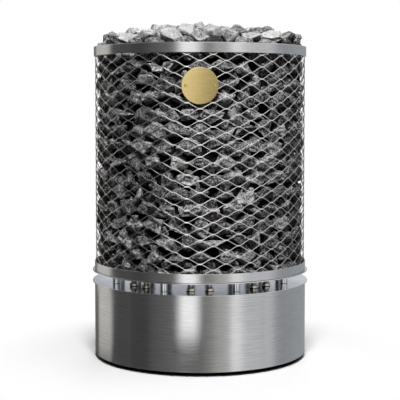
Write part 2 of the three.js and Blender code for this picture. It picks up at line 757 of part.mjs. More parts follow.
function terminalBracket() {
  const half = BRACKET_WIDTH / 2;
  const rightSide = [
    [half + BRACKET_FLANGE, 0],
    [half + BRACKET_FLANGE, BRACKET_SHEET],
    [half, BRACKET_SHEET],
    [half, BRACKET_HEIGHT],
  ];
  const inside = [
    [half - BRACKET_SHEET, 0],
    [half - BRACKET_SHEET, BRACKET_HEIGHT - BRACKET_SHEET],
  ];
  const mirrored = (points) => points.map(([y, z]) => [-y, z]);
  const outline = [
    ...rightSide,
    ...mirrored(rightSide).reverse(),
    ...mirrored(inside),
    ...[...inside].reverse(),
  ].map(([y, z]) => new THREE.Vector2(y, z));
  const profile = plate(outline, [], 0, BRACKET_LENGTH);
  return alongX(profile, BRACKET_LENGTH).translate(0, BRACKET_BACK, bracketLow);
}

function terminalBlock(sign) {
  const body = block(TERMINAL_LENGTH, TERMINAL_WIDTH, TERMINAL_HEIGHT).translate(0, 0, TERMINAL_HEIGHT / 2);
  const way = (TERMINAL_LENGTH - TERMINAL_WALL) / TERMINAL_WAYS;
  const slots = Array.from({ length: TERMINAL_WAYS }, (_, i) =>
    block(way - TERMINAL_WALL, TERMINAL_WIDTH - 2 * TERMINAL_WALL, 2 * TERMINAL_SLOT_DEPTH).translate(
      (i - (TERMINAL_WAYS - 1) / 2) * way,
      0,
      TERMINAL_HEIGHT,
    ),
  );
  return cut(body, ...slots).translate((sign * TERMINAL_SPACING) / 2, BRACKET_BACK, bracketTop + SEAT);
}

// The leads from both terminal blocks, tied into a ring under the elements' pins.
function wiringLoom() {
  const legCircle = elementLegs[0].length();
  const loop = new THREE.TorusGeometry(legCircle, LOOM_RADIUS, TUBE_SIDES, LOOM_STEPS);
  loop.translate(0, 0, loomHeight);
  const risers = elementLegs.map((leg) =>
    rod(LEAD_RADIUS, loomHeight, pinLow - SEAT, TUBE_SIDES).translate(leg.x, leg.y, 0),
  );
  const blockTop = bracketTop + SEAT + TERMINAL_HEIGHT;
  const tails = [-1, 1].map((sign) => {
    const x = (sign * TERMINAL_SPACING) / 2;
    const start = Math.sqrt(legCircle ** 2 - x ** 2);
    const curve = new THREE.CubicBezierCurve3(
      new THREE.Vector3(x, start, loomHeight),
      new THREE.Vector3(x, BRACKET_BACK + (start - BRACKET_BACK) / 2, loomHeight),
      new THREE.Vector3(x, BRACKET_BACK, blockTop + (loomHeight - blockTop) / 2),
      new THREE.Vector3(x, BRACKET_BACK, blockTop + SEAT + TAIL_RADIUS),
    );
    const path = [...curve.getPoints(TAIL_STEPS), new THREE.Vector3(x, BRACKET_BACK, blockTop + SEAT)];
    return tube(path, TAIL_RADIUS, TUBE_SIDES, new THREE.Vector3(1, 0, 0));
  });
  return join(loop, ...risers, ...tails);
}

function earthStud() {
  const low = bottomPlateTop + SEAT;
  const head = plate(hexagon(EARTH_HEAD_FLATS), [], low, EARTH_HEAD_HEIGHT);
  const shank = rod(EARTH_STUD_RADIUS, low + EARTH_HEAD_HEIGHT - SEAT, low + EARTH_STUD_HEIGHT, SMALL_SIDES);
  return join(head, shank).translate(EARTH_STUD_SIDE, drumInner - EARTH_STUD_INSET, 0);
}

// Assembly
const heater = new THREE.Group();

function add(name, geometry, material, place = new THREE.Vector2(), degrees = 0) {
  const mesh = new THREE.Mesh(geometry, material);
  mesh.name = name;
  mesh.position.set(place.x, place.y, 0);
  mesh.rotation.z = radians(degrees);
  heater.add(mesh);
}

add('base_drum', baseDrum(), BRUSHED_STEEL);
add('base_top_plate', baseTopPlate(), POLISHED_STEEL);
add('base_bottom_plate', baseBottomPlate(), ZINC_STEEL);
add('plinth_ring', plinthRing(), BLACK_RUBBER);
footPlaces.forEach((place, i) => {
  add(`foot_pad_${i + 1}`, footPad(), ZINC_STEEL, place);
  add(`foot_stud_${i + 1}`, footStud(), ZINC_STEEL, place);
  add(`foot_boss_${i + 1}`, footBoss(), ZINC_STEEL, place);
});
postPlaces.forEach((place, i) => add(`post_${i + 1}`, post(), POLISHED_STEEL, place));
ELEMENT_ANGLES.forEach((degrees, i) =>
  add(`heating_element_${i + 1}`, heatingElement(), ELEMENT_STEEL, onCircle(elementCircle, degrees), degrees),
);
elementLegs.forEach((leg, i) => add(`element_nut_${i + 1}`, elementNut(), ZINC_STEEL, leg));
add('basket_plate', basketPlate(), POLISHED_STEEL);
add('lower_band', band(basketFloor, LOWER_BAND_HEIGHT), BRUSHED_STEEL);
add('basket_net', basketNet(), NET_STEEL);
add('top_band', band(rimTop - TOP_BAND_HEIGHT, TOP_BAND_HEIGHT), BRUSHED_STEEL);
add('stone_bed', stoneBed(), STONE);
add('badge_plate', badgePlate(), BRASS);
add('badge_clamp_bar', badgeClampBar(), ZINC_STEEL);
add('badge_screw_1', badgeScrew(-1), BRASS);
add('badge_screw_2', badgeScrew(1), BRASS);
add('cable_grommet', cableGrommet(), BLACK_RUBBER);
add('terminal_bracket', terminalBracket(), ZINC_STEEL);
add('terminal_block_1', terminalBlock(-1), PORCELAIN);
add('terminal_block_2', terminalBlock(1), PORCELAIN);
add('wiring_loom', wiringLoom(), SILICONE);
add('earth_stud', earthStud(), BRASS);

export default heater;
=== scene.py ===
"""Dresses a round sauna heater: brushed drum and bands, polished plates and posts, a net of expanded
metal, split stones and a brass plate, standing in a white studio."""

from __future__ import annotations

import json
import logging
import math
from collections.abc import Iterable, Sequence
from dataclasses import dataclass, field
from enum import Enum
from typing import Any, Union

import bmesh
import bpy
import numpy as np
from mathutils import Matrix, Vector, noise

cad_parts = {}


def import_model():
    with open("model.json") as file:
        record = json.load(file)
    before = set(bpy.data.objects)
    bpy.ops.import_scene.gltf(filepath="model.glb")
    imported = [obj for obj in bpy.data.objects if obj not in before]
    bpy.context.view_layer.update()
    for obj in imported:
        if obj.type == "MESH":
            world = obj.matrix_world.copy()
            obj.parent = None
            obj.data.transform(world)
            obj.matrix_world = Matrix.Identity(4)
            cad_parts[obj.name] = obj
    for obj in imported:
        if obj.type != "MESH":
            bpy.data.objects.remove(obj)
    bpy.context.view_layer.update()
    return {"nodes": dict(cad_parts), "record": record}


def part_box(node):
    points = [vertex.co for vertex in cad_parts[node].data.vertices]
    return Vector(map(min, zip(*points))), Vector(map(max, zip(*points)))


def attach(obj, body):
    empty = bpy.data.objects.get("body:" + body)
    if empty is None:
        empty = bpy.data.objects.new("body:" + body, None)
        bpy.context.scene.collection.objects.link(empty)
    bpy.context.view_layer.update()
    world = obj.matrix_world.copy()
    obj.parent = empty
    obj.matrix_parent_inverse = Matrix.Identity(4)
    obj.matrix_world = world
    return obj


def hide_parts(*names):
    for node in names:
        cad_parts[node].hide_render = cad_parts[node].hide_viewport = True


LOG = logging.getLogger("heater")
HEATER_BODY = "heater"
MM = 0.001

Colour = tuple[float, float, float]
Outline = list[tuple[float, float]]
Value = Union["Signal", float]


class Slot(Enum):
    """The record's material slots."""

    BRUSHED_STEEL = "brushed_steel"
    POLISHED_STEEL = "polished_steel"
    NET_STEEL = "net_steel"
    ZINC_STEEL = "zinc_steel"
    ELEMENT_STEEL = "element_steel"
    BLACK_RUBBER = "black_rubber"
    BRASS = "brass"
    STONE = "stone"
    PORCELAIN = "porcelain"
    SILICONE = "silicone"


class Shading(Enum):
    """How a piece's faces meet: the largest angle, in degrees, that is shaded round."""

    FACETED = 0.0
    CREASED = 40.0


# Shader maths


class Signal:
    """What a socket gives out. Arithmetic on it adds Math nodes."""

    def __init__(self, graph: Graph, socket: bpy.types.NodeSocket) -> None:
        """Keeps the graph and the socket."""
        self.graph = graph
        self.socket = socket

    def _math(self, operation: str, first: Value, second: Value) -> Signal:
        """Adds one Math node of two values."""
        return self.graph.node("ShaderNodeMath", {"operation": operation}, {0: first, 1: second})

    def __add__(self, other: Value) -> Signal:
        """Adds the other value."""
        return self._math("ADD", self, other)

    def __radd__(self, other: Value) -> Signal:
        """Adds this to a number."""
        return self._math("ADD", other, self)

    def __sub__(self, other: Value) -> Signal:
        """Takes the other value away."""
        return self._math("SUBTRACT", self, other)

    def __rsub__(self, other: Value) -> Signal:
        """Takes this away from a number."""
        return self._math("SUBTRACT", other, self)

    def __mul__(self, other: Value) -> Signal:
        """Multiplies by the other value."""
        return self._math("MULTIPLY", self, other)

    def __rmul__(self, other: Value) -> Signal:
        """Multiplies a number by this."""
        return self._math("MULTIPLY", other, self)

    def __pow__(self, other: Value) -> Signal:
        """Raises this to a power."""
        return self._math("POWER", self, other)

    def __rpow__(self, other: Value) -> Signal:
        """Raises a number to the power of this."""
        return self._math("POWER", other, self)

    def __abs__(self) -> Signal:
        """Drops the sign."""
        return self._math("ABSOLUTE", self, 0.0)


class Graph:
    """A node tree that starts empty and grows by expressions."""

    def __init__(self, tree: bpy.types.NodeTree) -> None:
        """Empties the tree."""
        self.tree = tree
        tree.nodes.clear()

    def node(
        self,
        kind: str,
        settings: dict[str, Any] | None = None,
        inputs: dict[str | int, Any] | None = None,
        output: str | int = 0,
    ) -> Signal:
        """Adds a node of any type.

        Args:
            kind: the node's type.
            settings: its properties, with a ramp's stops as "stops".
            inputs: a value or a signal for each socket that is set.
            output: the socket that is passed on.

        Returns:
            The signal of that output.
        """
        made = self.tree.nodes.new(kind)
        for name, value in (settings or {}).items():
            if name == "stops":
                self._set_stops(made.color_ramp, value)
            else:
                setattr(made, name, value)
        for key, value in (inputs or {}).items():
            if isinstance(value, Signal):
                self.tree.links.new(value.socket, made.inputs[key])
            else:
                made.inputs[key].default_value = value
        return Signal(self, made.outputs[output] if made.outputs else None)

    @staticmethod
    def _set_stops(ramp: bpy.types.ColorRamp, stops: Sequence[tuple[float, Colour]]) -> None:
        """Gives a ramp its stops, as places and colours."""
        while len(ramp.elements) < len(stops):
            ramp.elements.new(1.0)
        for element, (place, colour) in zip(ramp.elements, stops):
            element.position = place
            element.color = (*colour, 1.0)

    def place(self) -> Signal:
        """The point of the surface, in metres."""
        return self.node("ShaderNodeTexCoord", output="Object")

    def stretch(self, point: Signal, scale: Colour) -> Signal:
        """The point with each axis scaled by itself."""
        return self.node("ShaderNodeVectorMath", {"operation": "MULTIPLY"}, {0: point, 1: scale})

    def shift(self, point: Signal, by: Signal, direction: Colour) -> Signal:
        """The point moved along a direction by a value."""
        scaled = self.node(
            "ShaderNodeVectorMath", {"operation": "SCALE"}, {0: direction, "Scale": by}
        )
        return self.node("ShaderNodeVectorMath", {"operation": "ADD"}, {0: point, 1: scaled})

    def grain(self, point: Signal, scale: float, detail: float = 2.0, rough: float = 0.5) -> Signal:
        """Soft random values from 0 to 1, with this many patches to a metre."""
        inputs = {"Vector": point, "Scale": scale, "Detail": detail, "Roughness": rough}
        return self.node("ShaderNodeTexNoise", {}, inputs)

    def ramp(self, value: Signal, stops: Sequence[tuple[float, Colour]]) -> Signal:
        """A colour for each value."""
        return self.node("ShaderNodeValToRGB", {"stops": stops}, {"Fac": value})

    def bump(self, height: Signal, distance: float, strength: float) -> Signal:
        """A normal from heights that stand out by the distance."""
        inputs = {"Height": height, "Distance": distance, "Strength": strength}
        return self.node("ShaderNodeBump", {}, inputs)


# Finishes


@dataclass(frozen=True)
class Finish:
    """A surface's look, made once as a material of its name."""

    name: str
    slot: Slot

    def surface(self, graph: Graph) -> dict[str, Any]:
        """The shader's sockets.

        Args:
            graph: the material's nodes.

        Returns:
            A value or a signal for each socket that is set.
        """
        raise NotImplementedError

    def material(self) -> bpy.types.Material:
        """The material, made at its first use."""
        title = f"{self.name}_finish"
        made = bpy.data.materials.get(title)
        if made is None:
            made = bpy.data.materials.new(title)
            made.use_nodes = True
            graph = Graph(made.node_tree)
            shader = graph.node("ShaderNodeBsdfPrincipled", {}, self.surface(graph))
            graph.node("ShaderNodeOutputMaterial", {}, {"Surface": shader})
        return made


@dataclass(frozen=True)
class BrushedMetal(Finish):
    """Metal brushed in one direction: fine streaks, and gloss drawn out across them."""

    dark: Colour
    light: Colour
    roughness: float
    streak: Colour
    relief: float
    anisotropy: float = 0.0
    turn: float = 0.0

    def surface(self, graph: Graph) -> dict[str, Any]:
        """Streaks in colour, gloss and relief."""
        point = graph.place()
        fine = graph.grain(graph.stretch(point, self.streak), 1.0, 3.0, 0.6)
        cloud = graph.grain(point, 9.0, 2.0)
        tone = fine * 0.75 + cloud * 0.25
        return {
            "Base Color": graph.ramp(tone, [(0.3, self.dark), (0.7, self.light)]),
            "Metallic": 1.0,
            "Roughness": tone * 0.16 + (self.roughness - 0.08),
            "Anisotropic": self.anisotropy,
            "Anisotropic Rotation": self.turn,
            "Normal": graph.bump(fine, self.relief, 0.6),
        }


@dataclass(frozen=True)
class SmoothMetal(Finish):
    """Metal with no direction to its gloss: polished, plated or drawn, or dulled by a matt skin."""

    dark: Colour
    light: Colour
    roughness: float
    patch: float
    relief: float
    bare: float = 1.0

    def surface(self, graph: Graph) -> dict[str, Any]:
        """Faint patches in colour and gloss, and fine pits."""
        point = graph.place()
        cloud = graph.grain(point, self.patch, 4.0, 0.6)
        pits = graph.grain(point, self.patch * 14.0, 2.0)
        return {
            "Base Color": graph.ramp(cloud, [(0.35, self.dark), (0.65, self.light)]),
            "Metallic": self.bare,
            "Roughness": cloud * 0.08 + pits * 0.06 + (self.roughness - 0.07),
            "Normal": graph.bump(pits, self.relief, 0.4),
        }


@dataclass(frozen=True)
class SplitStone(Finish):
    """Grey split rock: mottled, speckled and veined, paler along its broken edges."""

    stops: tuple[tuple[float, Colour], ...]
    specks: float = 2.0
    tones: float = 0.25
    roughness: float = 0.9
    shine: float = 0.08

    def surface(self, graph: Graph) -> dict[str, Any]:
        """Mottling, speckles and veins, each stone with its own tone, lowered as painted shade for stones
        that lie in joints.
        """
        tone = graph.node("ShaderNodeAttribute", {"attribute_name": "tone"}, output="Fac")
        edge = graph.node("ShaderNodeAttribute", {"attribute_name": "edge"}, output="Fac")
        point = graph.shift(graph.place(), tone, (3.1, 5.7, 4.3))
        mottle = graph.grain(point, 55.0, 6.0, 0.65)
        speckle = graph.grain(point, 260.0, 3.0, 0.75)
        vein = (1.0 - abs(graph.grain(point, 28.0, 3.0) - 0.5) * 14.0) * 0.12
        vein = graph.node("ShaderNodeClamp", {}, {"Value": vein})
        # The tone holds each stone's own random tone and, for stones in joints, painted shade.
        variety = (speckle - 0.5) * self.specks + (tone - 0.5) * self.tones
        shade = mottle * 0.5 + edge * 0.3 + vein + variety + 0.19
        return {
            "Base Color": graph.ramp(shade, self.stops),
            "Roughness": self.roughness - speckle * 0.25,
            "Specular IOR Level": self.shine,
            "Normal": graph.bump(mottle * 0.7 + speckle * 0.5, 2.5 * MM, 0.7),
        }


@dataclass(frozen=True)
class DullSurface(Finish):
    """A plain non-metal: rubber, porcelain or a cable's sleeve."""

    dark: Colour
    light: Colour
    roughness: float
    patch: float
    relief: float
    shine: float = 0.5

    def surface(self, graph: Graph) -> dict[str, Any]:
        """Faint patches in colour and gloss, and a fine grain."""
        point = graph.place()
        cloud = graph.grain(point, self.patch, 4.0, 0.6)
        grain = graph.grain(point, self.patch * 12.0, 2.0)
        return {
            "Base Color": graph.ramp(cloud, [(0.3, self.dark), (0.7, self.light)]),
            "Roughness": self.roughness + cloud * 0.1 - grain * 0.08,
            "Specular IOR Level": self.shine,
            "Normal": graph.bump(grain, self.relief, 0.5),
        }


ROUND_STREAK = (20.0, 20.0, 620.0)
LEVEL_STREAK = (25.0, 25.0, 1100.0)

DRUM_STEEL = BrushedMetal(
    "drum_steel",
    Slot.BRUSHED_STEEL,
    dark=(0.51, 0.51, 0.51),
    light=(0.70, 0.70, 0.70),
    roughness=0.19,
    streak=ROUND_STREAK,
    relief=0.005 * MM,
    anisotropy=0.5,
    turn=0.25,
)
BAND_STEEL = BrushedMetal(
    "band_steel",
    Slot.BRUSHED_STEEL,
    dark=(0.56, 0.56, 0.56),
    light=(0.70, 0.70, 0.70),
    roughness=0.21,
    streak=(60.0, 60.0, 900.0),
    relief=0.01 * MM,
    anisotropy=0.5,
    turn=0.25,
)
POLISHED_STEEL = SmoothMetal(
    "polished_steel",
    Slot.POLISHED_STEEL,
    dark=(0.66, 0.67, 0.69),
    light=(0.74, 0.75, 0.77),
    roughness=0.13,
    patch=40.0,
    relief=0.01 * MM,
)
NET_STEEL = SmoothMetal(
    "net_steel",
    Slot.NET_STEEL,
    dark=(0.56, 0.55, 0.53),
    light=(0.70, 0.69, 0.67),
    roughness=0.28,
    patch=70.0,
    relief=0.05 * MM,
    bare=1.0,
)
ZINC_STEEL = SmoothMetal(
    "zinc_steel",
    Slot.ZINC_STEEL,
    dark=(0.48, 0.49, 0.50),
    light=(0.62, 0.63, 0.64),
    roughness=0.4,
    patch=120.0,
    relief=0.04 * MM,
)
NUT_STEEL = SmoothMetal(
    "nut_steel",
    Slot.ZINC_STEEL,
    dark=(0.40, 0.37, 0.31),
    light=(0.60, 0.56, 0.47),
    roughness=0.17,
    patch=150.0,
    relief=0.03 * MM,
)
ELEMENT_STEEL = SmoothMetal(
    "element_steel",
    Slot.ELEMENT_STEEL,
    dark=(0.46, 0.44, 0.39),
    light=(0.62, 0.60, 0.54),
    roughness=0.3,
    patch=90.0,
    relief=0.04 * MM,
)
BRASS = BrushedMetal(
    "brass",
    Slot.BRASS,
    dark=(0.61, 0.46, 0.17),
    light=(0.78, 0.62, 0.29),
    roughness=0.28,
    streak=LEVEL_STREAK,
    relief=0.02 * MM,
)
BLACK_RUBBER = DullSurface(
    "black_rubber",
    Slot.BLACK_RUBBER,
    dark=(0.003, 0.003, 0.003),
    light=(0.008, 0.008, 0.008),
    roughness=0.75,
    patch=60.0,
    relief=0.1 * MM,
    shine=0.02,
)
PORCELAIN = DullSurface(
    "porcelain",
    Slot.PORCELAIN,
    dark=(0.74, 0.71, 0.64),
    light=(0.82, 0.80, 0.75),
    roughness=0.35,
    patch=50.0,
    relief=0.02 * MM,
)
SILICONE = DullSurface(
    "silicone",
    Slot.SILICONE,
    dark=(0.44, 0.41, 0.35),
    light=(0.54, 0.51, 0.45),
    roughness=0.6,
    patch=80.0,
    relief=0.05 * MM,
)
# The wall's stone: the same rock as the heap's, painted darker as the shade of the net and of the stones
# around it.
STONE = SplitStone(
    "stone",
    Slot.STONE,
    stops=(
        (0.22, (0.015, 0.015, 0.016)),
        (0.46, (0.10, 0.10, 0.103)),
        (0.66, (0.29, 0.29, 0.29)),
        (0.90, (0.60, 0.60, 0.59)),
    ),
)
# The heap's copy of the same rock, painted paler as painted light from above.
LIT_HEAP_STONE = SplitStone(
    "heap_stone",
    Slot.STONE,
    stops=(
        (0.20, (0.025, 0.025, 0.026)),
        (0.46, (0.23, 0.23, 0.232)),
        (0.66, (0.39, 0.39, 0.39)),
        (0.90, (0.51, 0.51, 0.50)),
    ),
    specks=1.5,
    tones=0.45,
)
# The inner mass's stone, painted near black: painted shade deep between the stones.
PAINTED_SHADE_STONE = SplitStone(
    "painted_shade_stone",
    Slot.STONE,
    stops=((0.2, (0.004, 0.004, 0.004)), (0.9, (0.03, 0.03, 0.03))),
    shine=0.0,
)
CARRIED_FINISHES = {
    finish.slot.value: finish
    for finish in (ZINC_STEEL, BRASS, BLACK_RUBBER, PORCELAIN, SILICONE, POLISHED_STEEL)
}


# Meshes


@dataclass
class Solid:
    """Points and faces of a piece while it is made, with any values kept at the points."""

    points: np.ndarray
    faces: list[tuple[int, ...]]
    traits: dict[str, np.ndarray] = field(default_factory=dict)

    def moved(self, matrix: Matrix) -> Solid:
        """The same solid, placed by a matrix."""
        place = np.array(matrix)
        return Solid(self.points @ place[:3, :3].T + place[:3, 3], self.faces, self.traits)

    @staticmethod
    def joined(solids: Sequence[Solid]) -> Solid:
        """Several solids as one."""
        faces: list[tuple[int, ...]] = []
        start = 0
        for solid in solids:
            faces.extend(tuple(index + start for index in face) for face in solid.faces)
            start += len(solid.points)
        traits = {
            name: np.concatenate([solid.traits[name] for solid in solids])
            for name in solids[0].traits
        }
        return Solid(np.concatenate([solid.points for solid in solids]), faces, traits)


def at_angle(radius: float, degrees: float, height: float = 0.0) -> Vector:
    """A point at an angle from the front, counted towards +X."""
    angle = math.radians(degrees)
    return Vector((radius * math.sin(angle), -radius * math.cos(angle), height))


def rounded(outline: Outline, fillet: float, steps: int = 4) -> Outline:
    """Rounds the corners of a closed outline.

    Args:
        outline: corners in order, left sharp where they lie on the axis.
        fillet: radius of each corner, less where a side is short.
        steps: sides to each round corner.

    Returns:
        The outline's new points, with one beside each round corner that keeps the flats flat.
    """
    points: Outline = []
    for i, corner in enumerate(outline):
        if corner[0] == 0.0:
            points.append(corner)
            continue
        middle = Vector(corner)
        before = Vector(outline[i - 1]) - middle
        after = Vector(outline[(i + 1) % len(outline)]) - middle
        half_angle = before.angle(after) / 2
        reach = min(fillet / math.tan(half_angle), 0.45 * before.length, 0.45 * after.length)
        start = middle + before.normalized() * reach
        end = middle + after.normalized() * reach
        if 2 * reach < 0.5 * before.length:
            points.append(tuple(middle + before.normalized() * 1.8 * reach))
        for step in range(steps + 1):
            share = step / steps
            bend = start.lerp(middle, share).lerp(middle.lerp(end, share), share)
            points.append(tuple(bend))
        if 2 * reach < 0.5 * after.length:
            points.append(tuple(middle + after.normalized() * 1.8 * reach))
    return points


def turned(outline: Outline, sides: int) -> Solid:
    """A closed outline of radii and heights, turned about Z.

    Args:
        outline: points that run up the outside and down the inside, or up from the axis and back to it.
        sides: facets round the axis.

    Returns:
        A solid of quads, with triangles at the axis.
    """
    points: list[tuple[float, float, float]] = []
    rings = []
    for radius, height in outline:
        count = sides if radius > 0.0 else 1
        rings.append([len(points) + j % count for j in range(sides)])
        points.extend(tuple(at_angle(radius, j * 360 / sides, height)) for j in range(count))
    faces = []
    for i, low in enumerate(rings):
        high = rings[(i + 1) % len(rings)]
        for j in range(sides):
            k = (j + 1) % sides
            corners = tuple(dict.fromkeys((low[j], low[k], high[k], high[j])))
            if len(corners) > 2:
                faces.append(corners)
    return Solid(np.array(points), faces)


def disc(radius: float, low: float, high: float, fillet: float, sides: int) -> Solid:
    """A round plate or pin with rounded edges.

    Args:
        radius: of its rim.
        low: height of its underside.
        high: height of its top.
        fillet: radius of its edges.
        sides: facets round the axis.

    Returns:
        The solid.
    """
    return turned(rounded([(0.0, low), (radius, low), (radius, high), (0.0, high)], fillet), sides)


def hex_nut(flats: float, bore: float, low: float, high: float) -> Solid:
    """A hexagon nut with its corners turned off at the top.

    Args:
        flats: width across flats.
        bore: radius of its hole.
        low: height of its underside.
        high: height of its top.

    Returns:
        The solid, with a round hole.
    """
    sides = 24
    crown = 0.12 * (high - low)
    angles = np.arange(sides) * 2 * math.pi / sides
    sector = math.pi / 3
    hexagon = flats / 2 / np.cos((angles + sector / 2) % sector - sector / 2)
    rings = (
        (hexagon, low),
        (np.minimum(hexagon, 0.565 * flats), high - crown),
        (np.full(sides, flats / 2 * 0.96), high),
        (np.full(sides, bore), high),
        (np.full(sides, bore), low),
    )
    points = [
        (radius * math.sin(angle), -radius * math.cos(angle), height)
        for radii, height in rings
        for radius, angle in zip(radii, angles)
    ]
    faces = turned([(1.0, 0.0)] * len(rings), sides).faces
    return Solid(np.array(points), faces)


def tube(path: Sequence[Vector], radius: float, side: Vector, sides: int) -> Solid:
    """A round tube along a path in one plane.

    Args:
        path: points of its middle.
        radius: of the tube.
        side: normal of the path's plane.
        sides: facets round the tube.

    Returns:
        The solid, with a flat face at each end.
    """
    points = []
    for i, point in enumerate(path):
        ahead = path[min(i + 1, len(path) - 1)] - path[max(i - 1, 0)]
        across = ahead.normalized().cross(side)
        for k in range(sides):
            angle = 2 * math.pi * k / sides
            points.append(point + radius * (math.cos(angle) * across + math.sin(angle) * side))
    faces = []
    for i in range(len(path) - 1):
        for k in range(sides):
            n = (k + 1) % sides
            near, far = i * sides, (i + 1) * sides
            faces.append((near + k, far + k, far + n, near + n))
    last = (len(path) - 1) * sides
    faces.append(tuple(range(sides)))
    faces.append(tuple(range(last, last + sides))[::-1])
    return Solid(np.array(points), faces)


def make_piece(
    name: str,
    solid: Solid,
    finish: Finish,
    nodes: Iterable[str],
    body: str = HEATER_BODY,
    shading: Shading = Shading.CREASED,
) -> bpy.types.Object:
    """Makes an object of a solid, dresses it and sets it on its body.

    Args:
        name: the piece's name.
        solid: its points and faces.
        finish: its surface.
        nodes: the CAD nodes that it stands for.
        body: the CAD body that it moves with.
        shading: how its faces meet.

    Returns:
        The new object.
    """
    mesh = bpy.data.meshes.new(name)
    mesh.from_pydata(solid.points.tolist(), [], solid.faces)
    for trait, values in solid.traits.items():
        mesh.attributes.new(trait, "FLOAT", "POINT").data.foreach_set("value", values)
    if shading is Shading.FACETED:
        mesh.shade_flat()
    else:
        mesh.shade_smooth()
        mesh.set_sharp_from_angle(angle=math.radians(shading.value))
    piece = bpy.data.objects.new(name, mesh)
    bpy.context.scene.collection.objects.link(piece)
    mesh.materials.append(finish.material())
    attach(piece, body)
    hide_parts(*nodes)
    LOG.info("%s: %d faces on %s", name, len(mesh.polygons), body)
    return piece


def cut_away(piece: bpy.types.Object, tool: Solid) -> None:
    """Cuts a solid out of a piece's mesh.

    Args:
        piece: the object that is cut.
        tool: the solid that is taken away.
    """
    mesh = bpy.data.meshes.new("cutter")
    mesh.from_pydata(tool.points.tolist(), [], tool.faces)
    cutter = bpy.data.objects.new("cutter", mesh)
    bpy.context.scene.collection.objects.link(cutter)
    modifier = piece.modifiers.new("cut", "BOOLEAN")
    modifier.operation = "DIFFERENCE"
    modifier.solver = "EXACT"
    modifier.object = cutter
    shaped = piece.evaluated_get(bpy.context.evaluated_depsgraph_get())
    piece.data = bpy.data.meshes.new_from_object(shaped)
    piece.modifiers.clear()
    bpy.data.objects.remove(cutter)
    bpy.data.meshes.remove(mesh)


def shade_round(piece: bpy.types.Object, radius: float) -> None:
    """Shades a piece's upright outer wall as part of one cylinder, also round a hole.

    Args:
        piece: the object.
        radius: of the wall.
    """
    mesh = piece.data
    normals = [corner.vector.copy() for corner in mesh.corner_normals]
    for face in mesh.polygons:
        outwards = face.center.xy.normalized()
        if face.center.xy.length > radius - MM and face.normal.xy.dot(outwards) > math.cos(0.01):
            for corner in face.loop_indices:
                point = mesh.vertices[mesh.loops[corner].vertex_index].co
                normals[corner] = point.xy.normalized().to_3d()
    mesh.normals_split_custom_set(normals)


# Sub-assemblies


@dataclass
class Base:
    """The drum, its plinth, its polished plate, its feet and the cable bush."""

    wall: float = 1.5 * MM
    flange: float = 12 * MM
    edge: float = 0.7 * MM
    plinth_wall: float = 7 * MM
    plinth_edge: float = 0.5 * MM
    pad_hub: float = 10 * MM
    pad_rim: float = 2 * MM
    pad_shoulder: float = 4 * MM
    stud_hole: float = 5.4 * MM
    socket_depth: float = 7 * MM
    bush_bore: float = 9 * MM
    bush_neck: float = 13 * MM
    bush_lip: float = 2 * MM
    sides: int = 192

    def build(self) -> None:
        """Makes every piece of the base."""
        self.drum()
        self.plinth()
        self.plate()
        for number in range(1, 5):
            self.foot_pad(number)
        self.cable_bush()

    def drum(self) -> None:
        """A rolled wall with an inward flange at its foot and a hole for the cable."""
        low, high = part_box("base_drum")
        outer, inner = high.x, high.x - self.wall
        outline = rounded(
            [
                (outer, low.z),
                (outer, high.z),
                (inner, high.z),
                (inner, low.z + self.wall),
                (inner - self.flange, low.z + self.wall),
                (inner - self.flange, low.z),
            ],
            self.edge,
        )
        piece = make_piece("drum", turned(outline, self.sides), DRUM_STEEL, ["base_drum"])
        bush_low, bush_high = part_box("cable_grommet")
        drill = disc(self.bush_neck, 0.0, 2 * outer, 0.1 * MM, 48)
        axis = Matrix.Translation((0, 0, (bush_low.z + bush_high.z) / 2))
        cut_away(piece, drill.moved(axis @ Matrix.Rotation(-math.pi / 2, 4, "X")))
        shade_round(piece, outer)

    def plinth(self) -> None:
        """The black recessed ring under the drum."""
        low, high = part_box("plinth_ring")
        inner = high.x - self.plinth_wall
        corners = [(high.x, low.z), (high.x, high.z), (inner, high.z), (inner, low.z)]
        ring = turned(rounded(corners, self.plinth_edge), self.sides)
        make_piece("plinth", ring, BLACK_RUBBER, ["plinth_ring"])

    def plate(self) -> None:
        """The polished plate on the drum."""
        low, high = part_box("base_top_plate")
        solid = disc(high.x, low.z, high.z, self.edge, self.sides)
        make_piece("drum_plate", solid, POLISHED_STEEL, ["base_top_plate"])

    def foot_pad(self, number: int) -> None:
        """One pad of the levelling feet.

        Args:
            number: of the foot.
        """
        node = f"foot_pad_{number}"
        low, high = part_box(node)
        radius = (high.x - low.x) / 2
        floor = high.z - self.socket_depth
        outline = [
            (0.0, low.z),
            (radius, low.z),
            (radius, low.z + self.pad_rim),
            (self.pad_hub, low.z + self.pad_shoulder),
            (self.pad_hub, high.z),
            (self.stud_hole, high.z),
            (self.stud_hole, floor),
            (0.0, floor),
        ]
        place = Matrix.Translation(((low.x + high.x) / 2, (low.y + high.y) / 2, 0))
        pad = turned(rounded(outline, self.edge / 2), 48).moved(place)
        make_piece(f"pad_{number}", pad, ZINC_STEEL, [node], f"foot_{number}")

    def cable_bush(self) -> None:
        """The rubber bush in the drum's back wall."""
        low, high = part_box("cable_grommet")
        flange = (high.x - low.x) / 2
        inside, outside = low.y + self.bush_lip, high.y - self.bush_lip
        outline = [
            (self.bush_bore, low.y),
            (flange, low.y),
            (flange, inside),
            (self.bush_neck, inside),
            (self.bush_neck, outside),
            (flange, outside),
            (flange, high.y),
            (self.bush_bore, high.y),
        ]
        axis = Matrix.Translation((0, 0, (low.z + high.z) / 2)) @ Matrix.Rotation(-math.pi / 2, 4, "X")
        bush = turned(rounded(outline, self.edge), 64).moved(axis)
        make_piece("cable_bush", bush, BLACK_RUBBER, ["cable_grommet"])


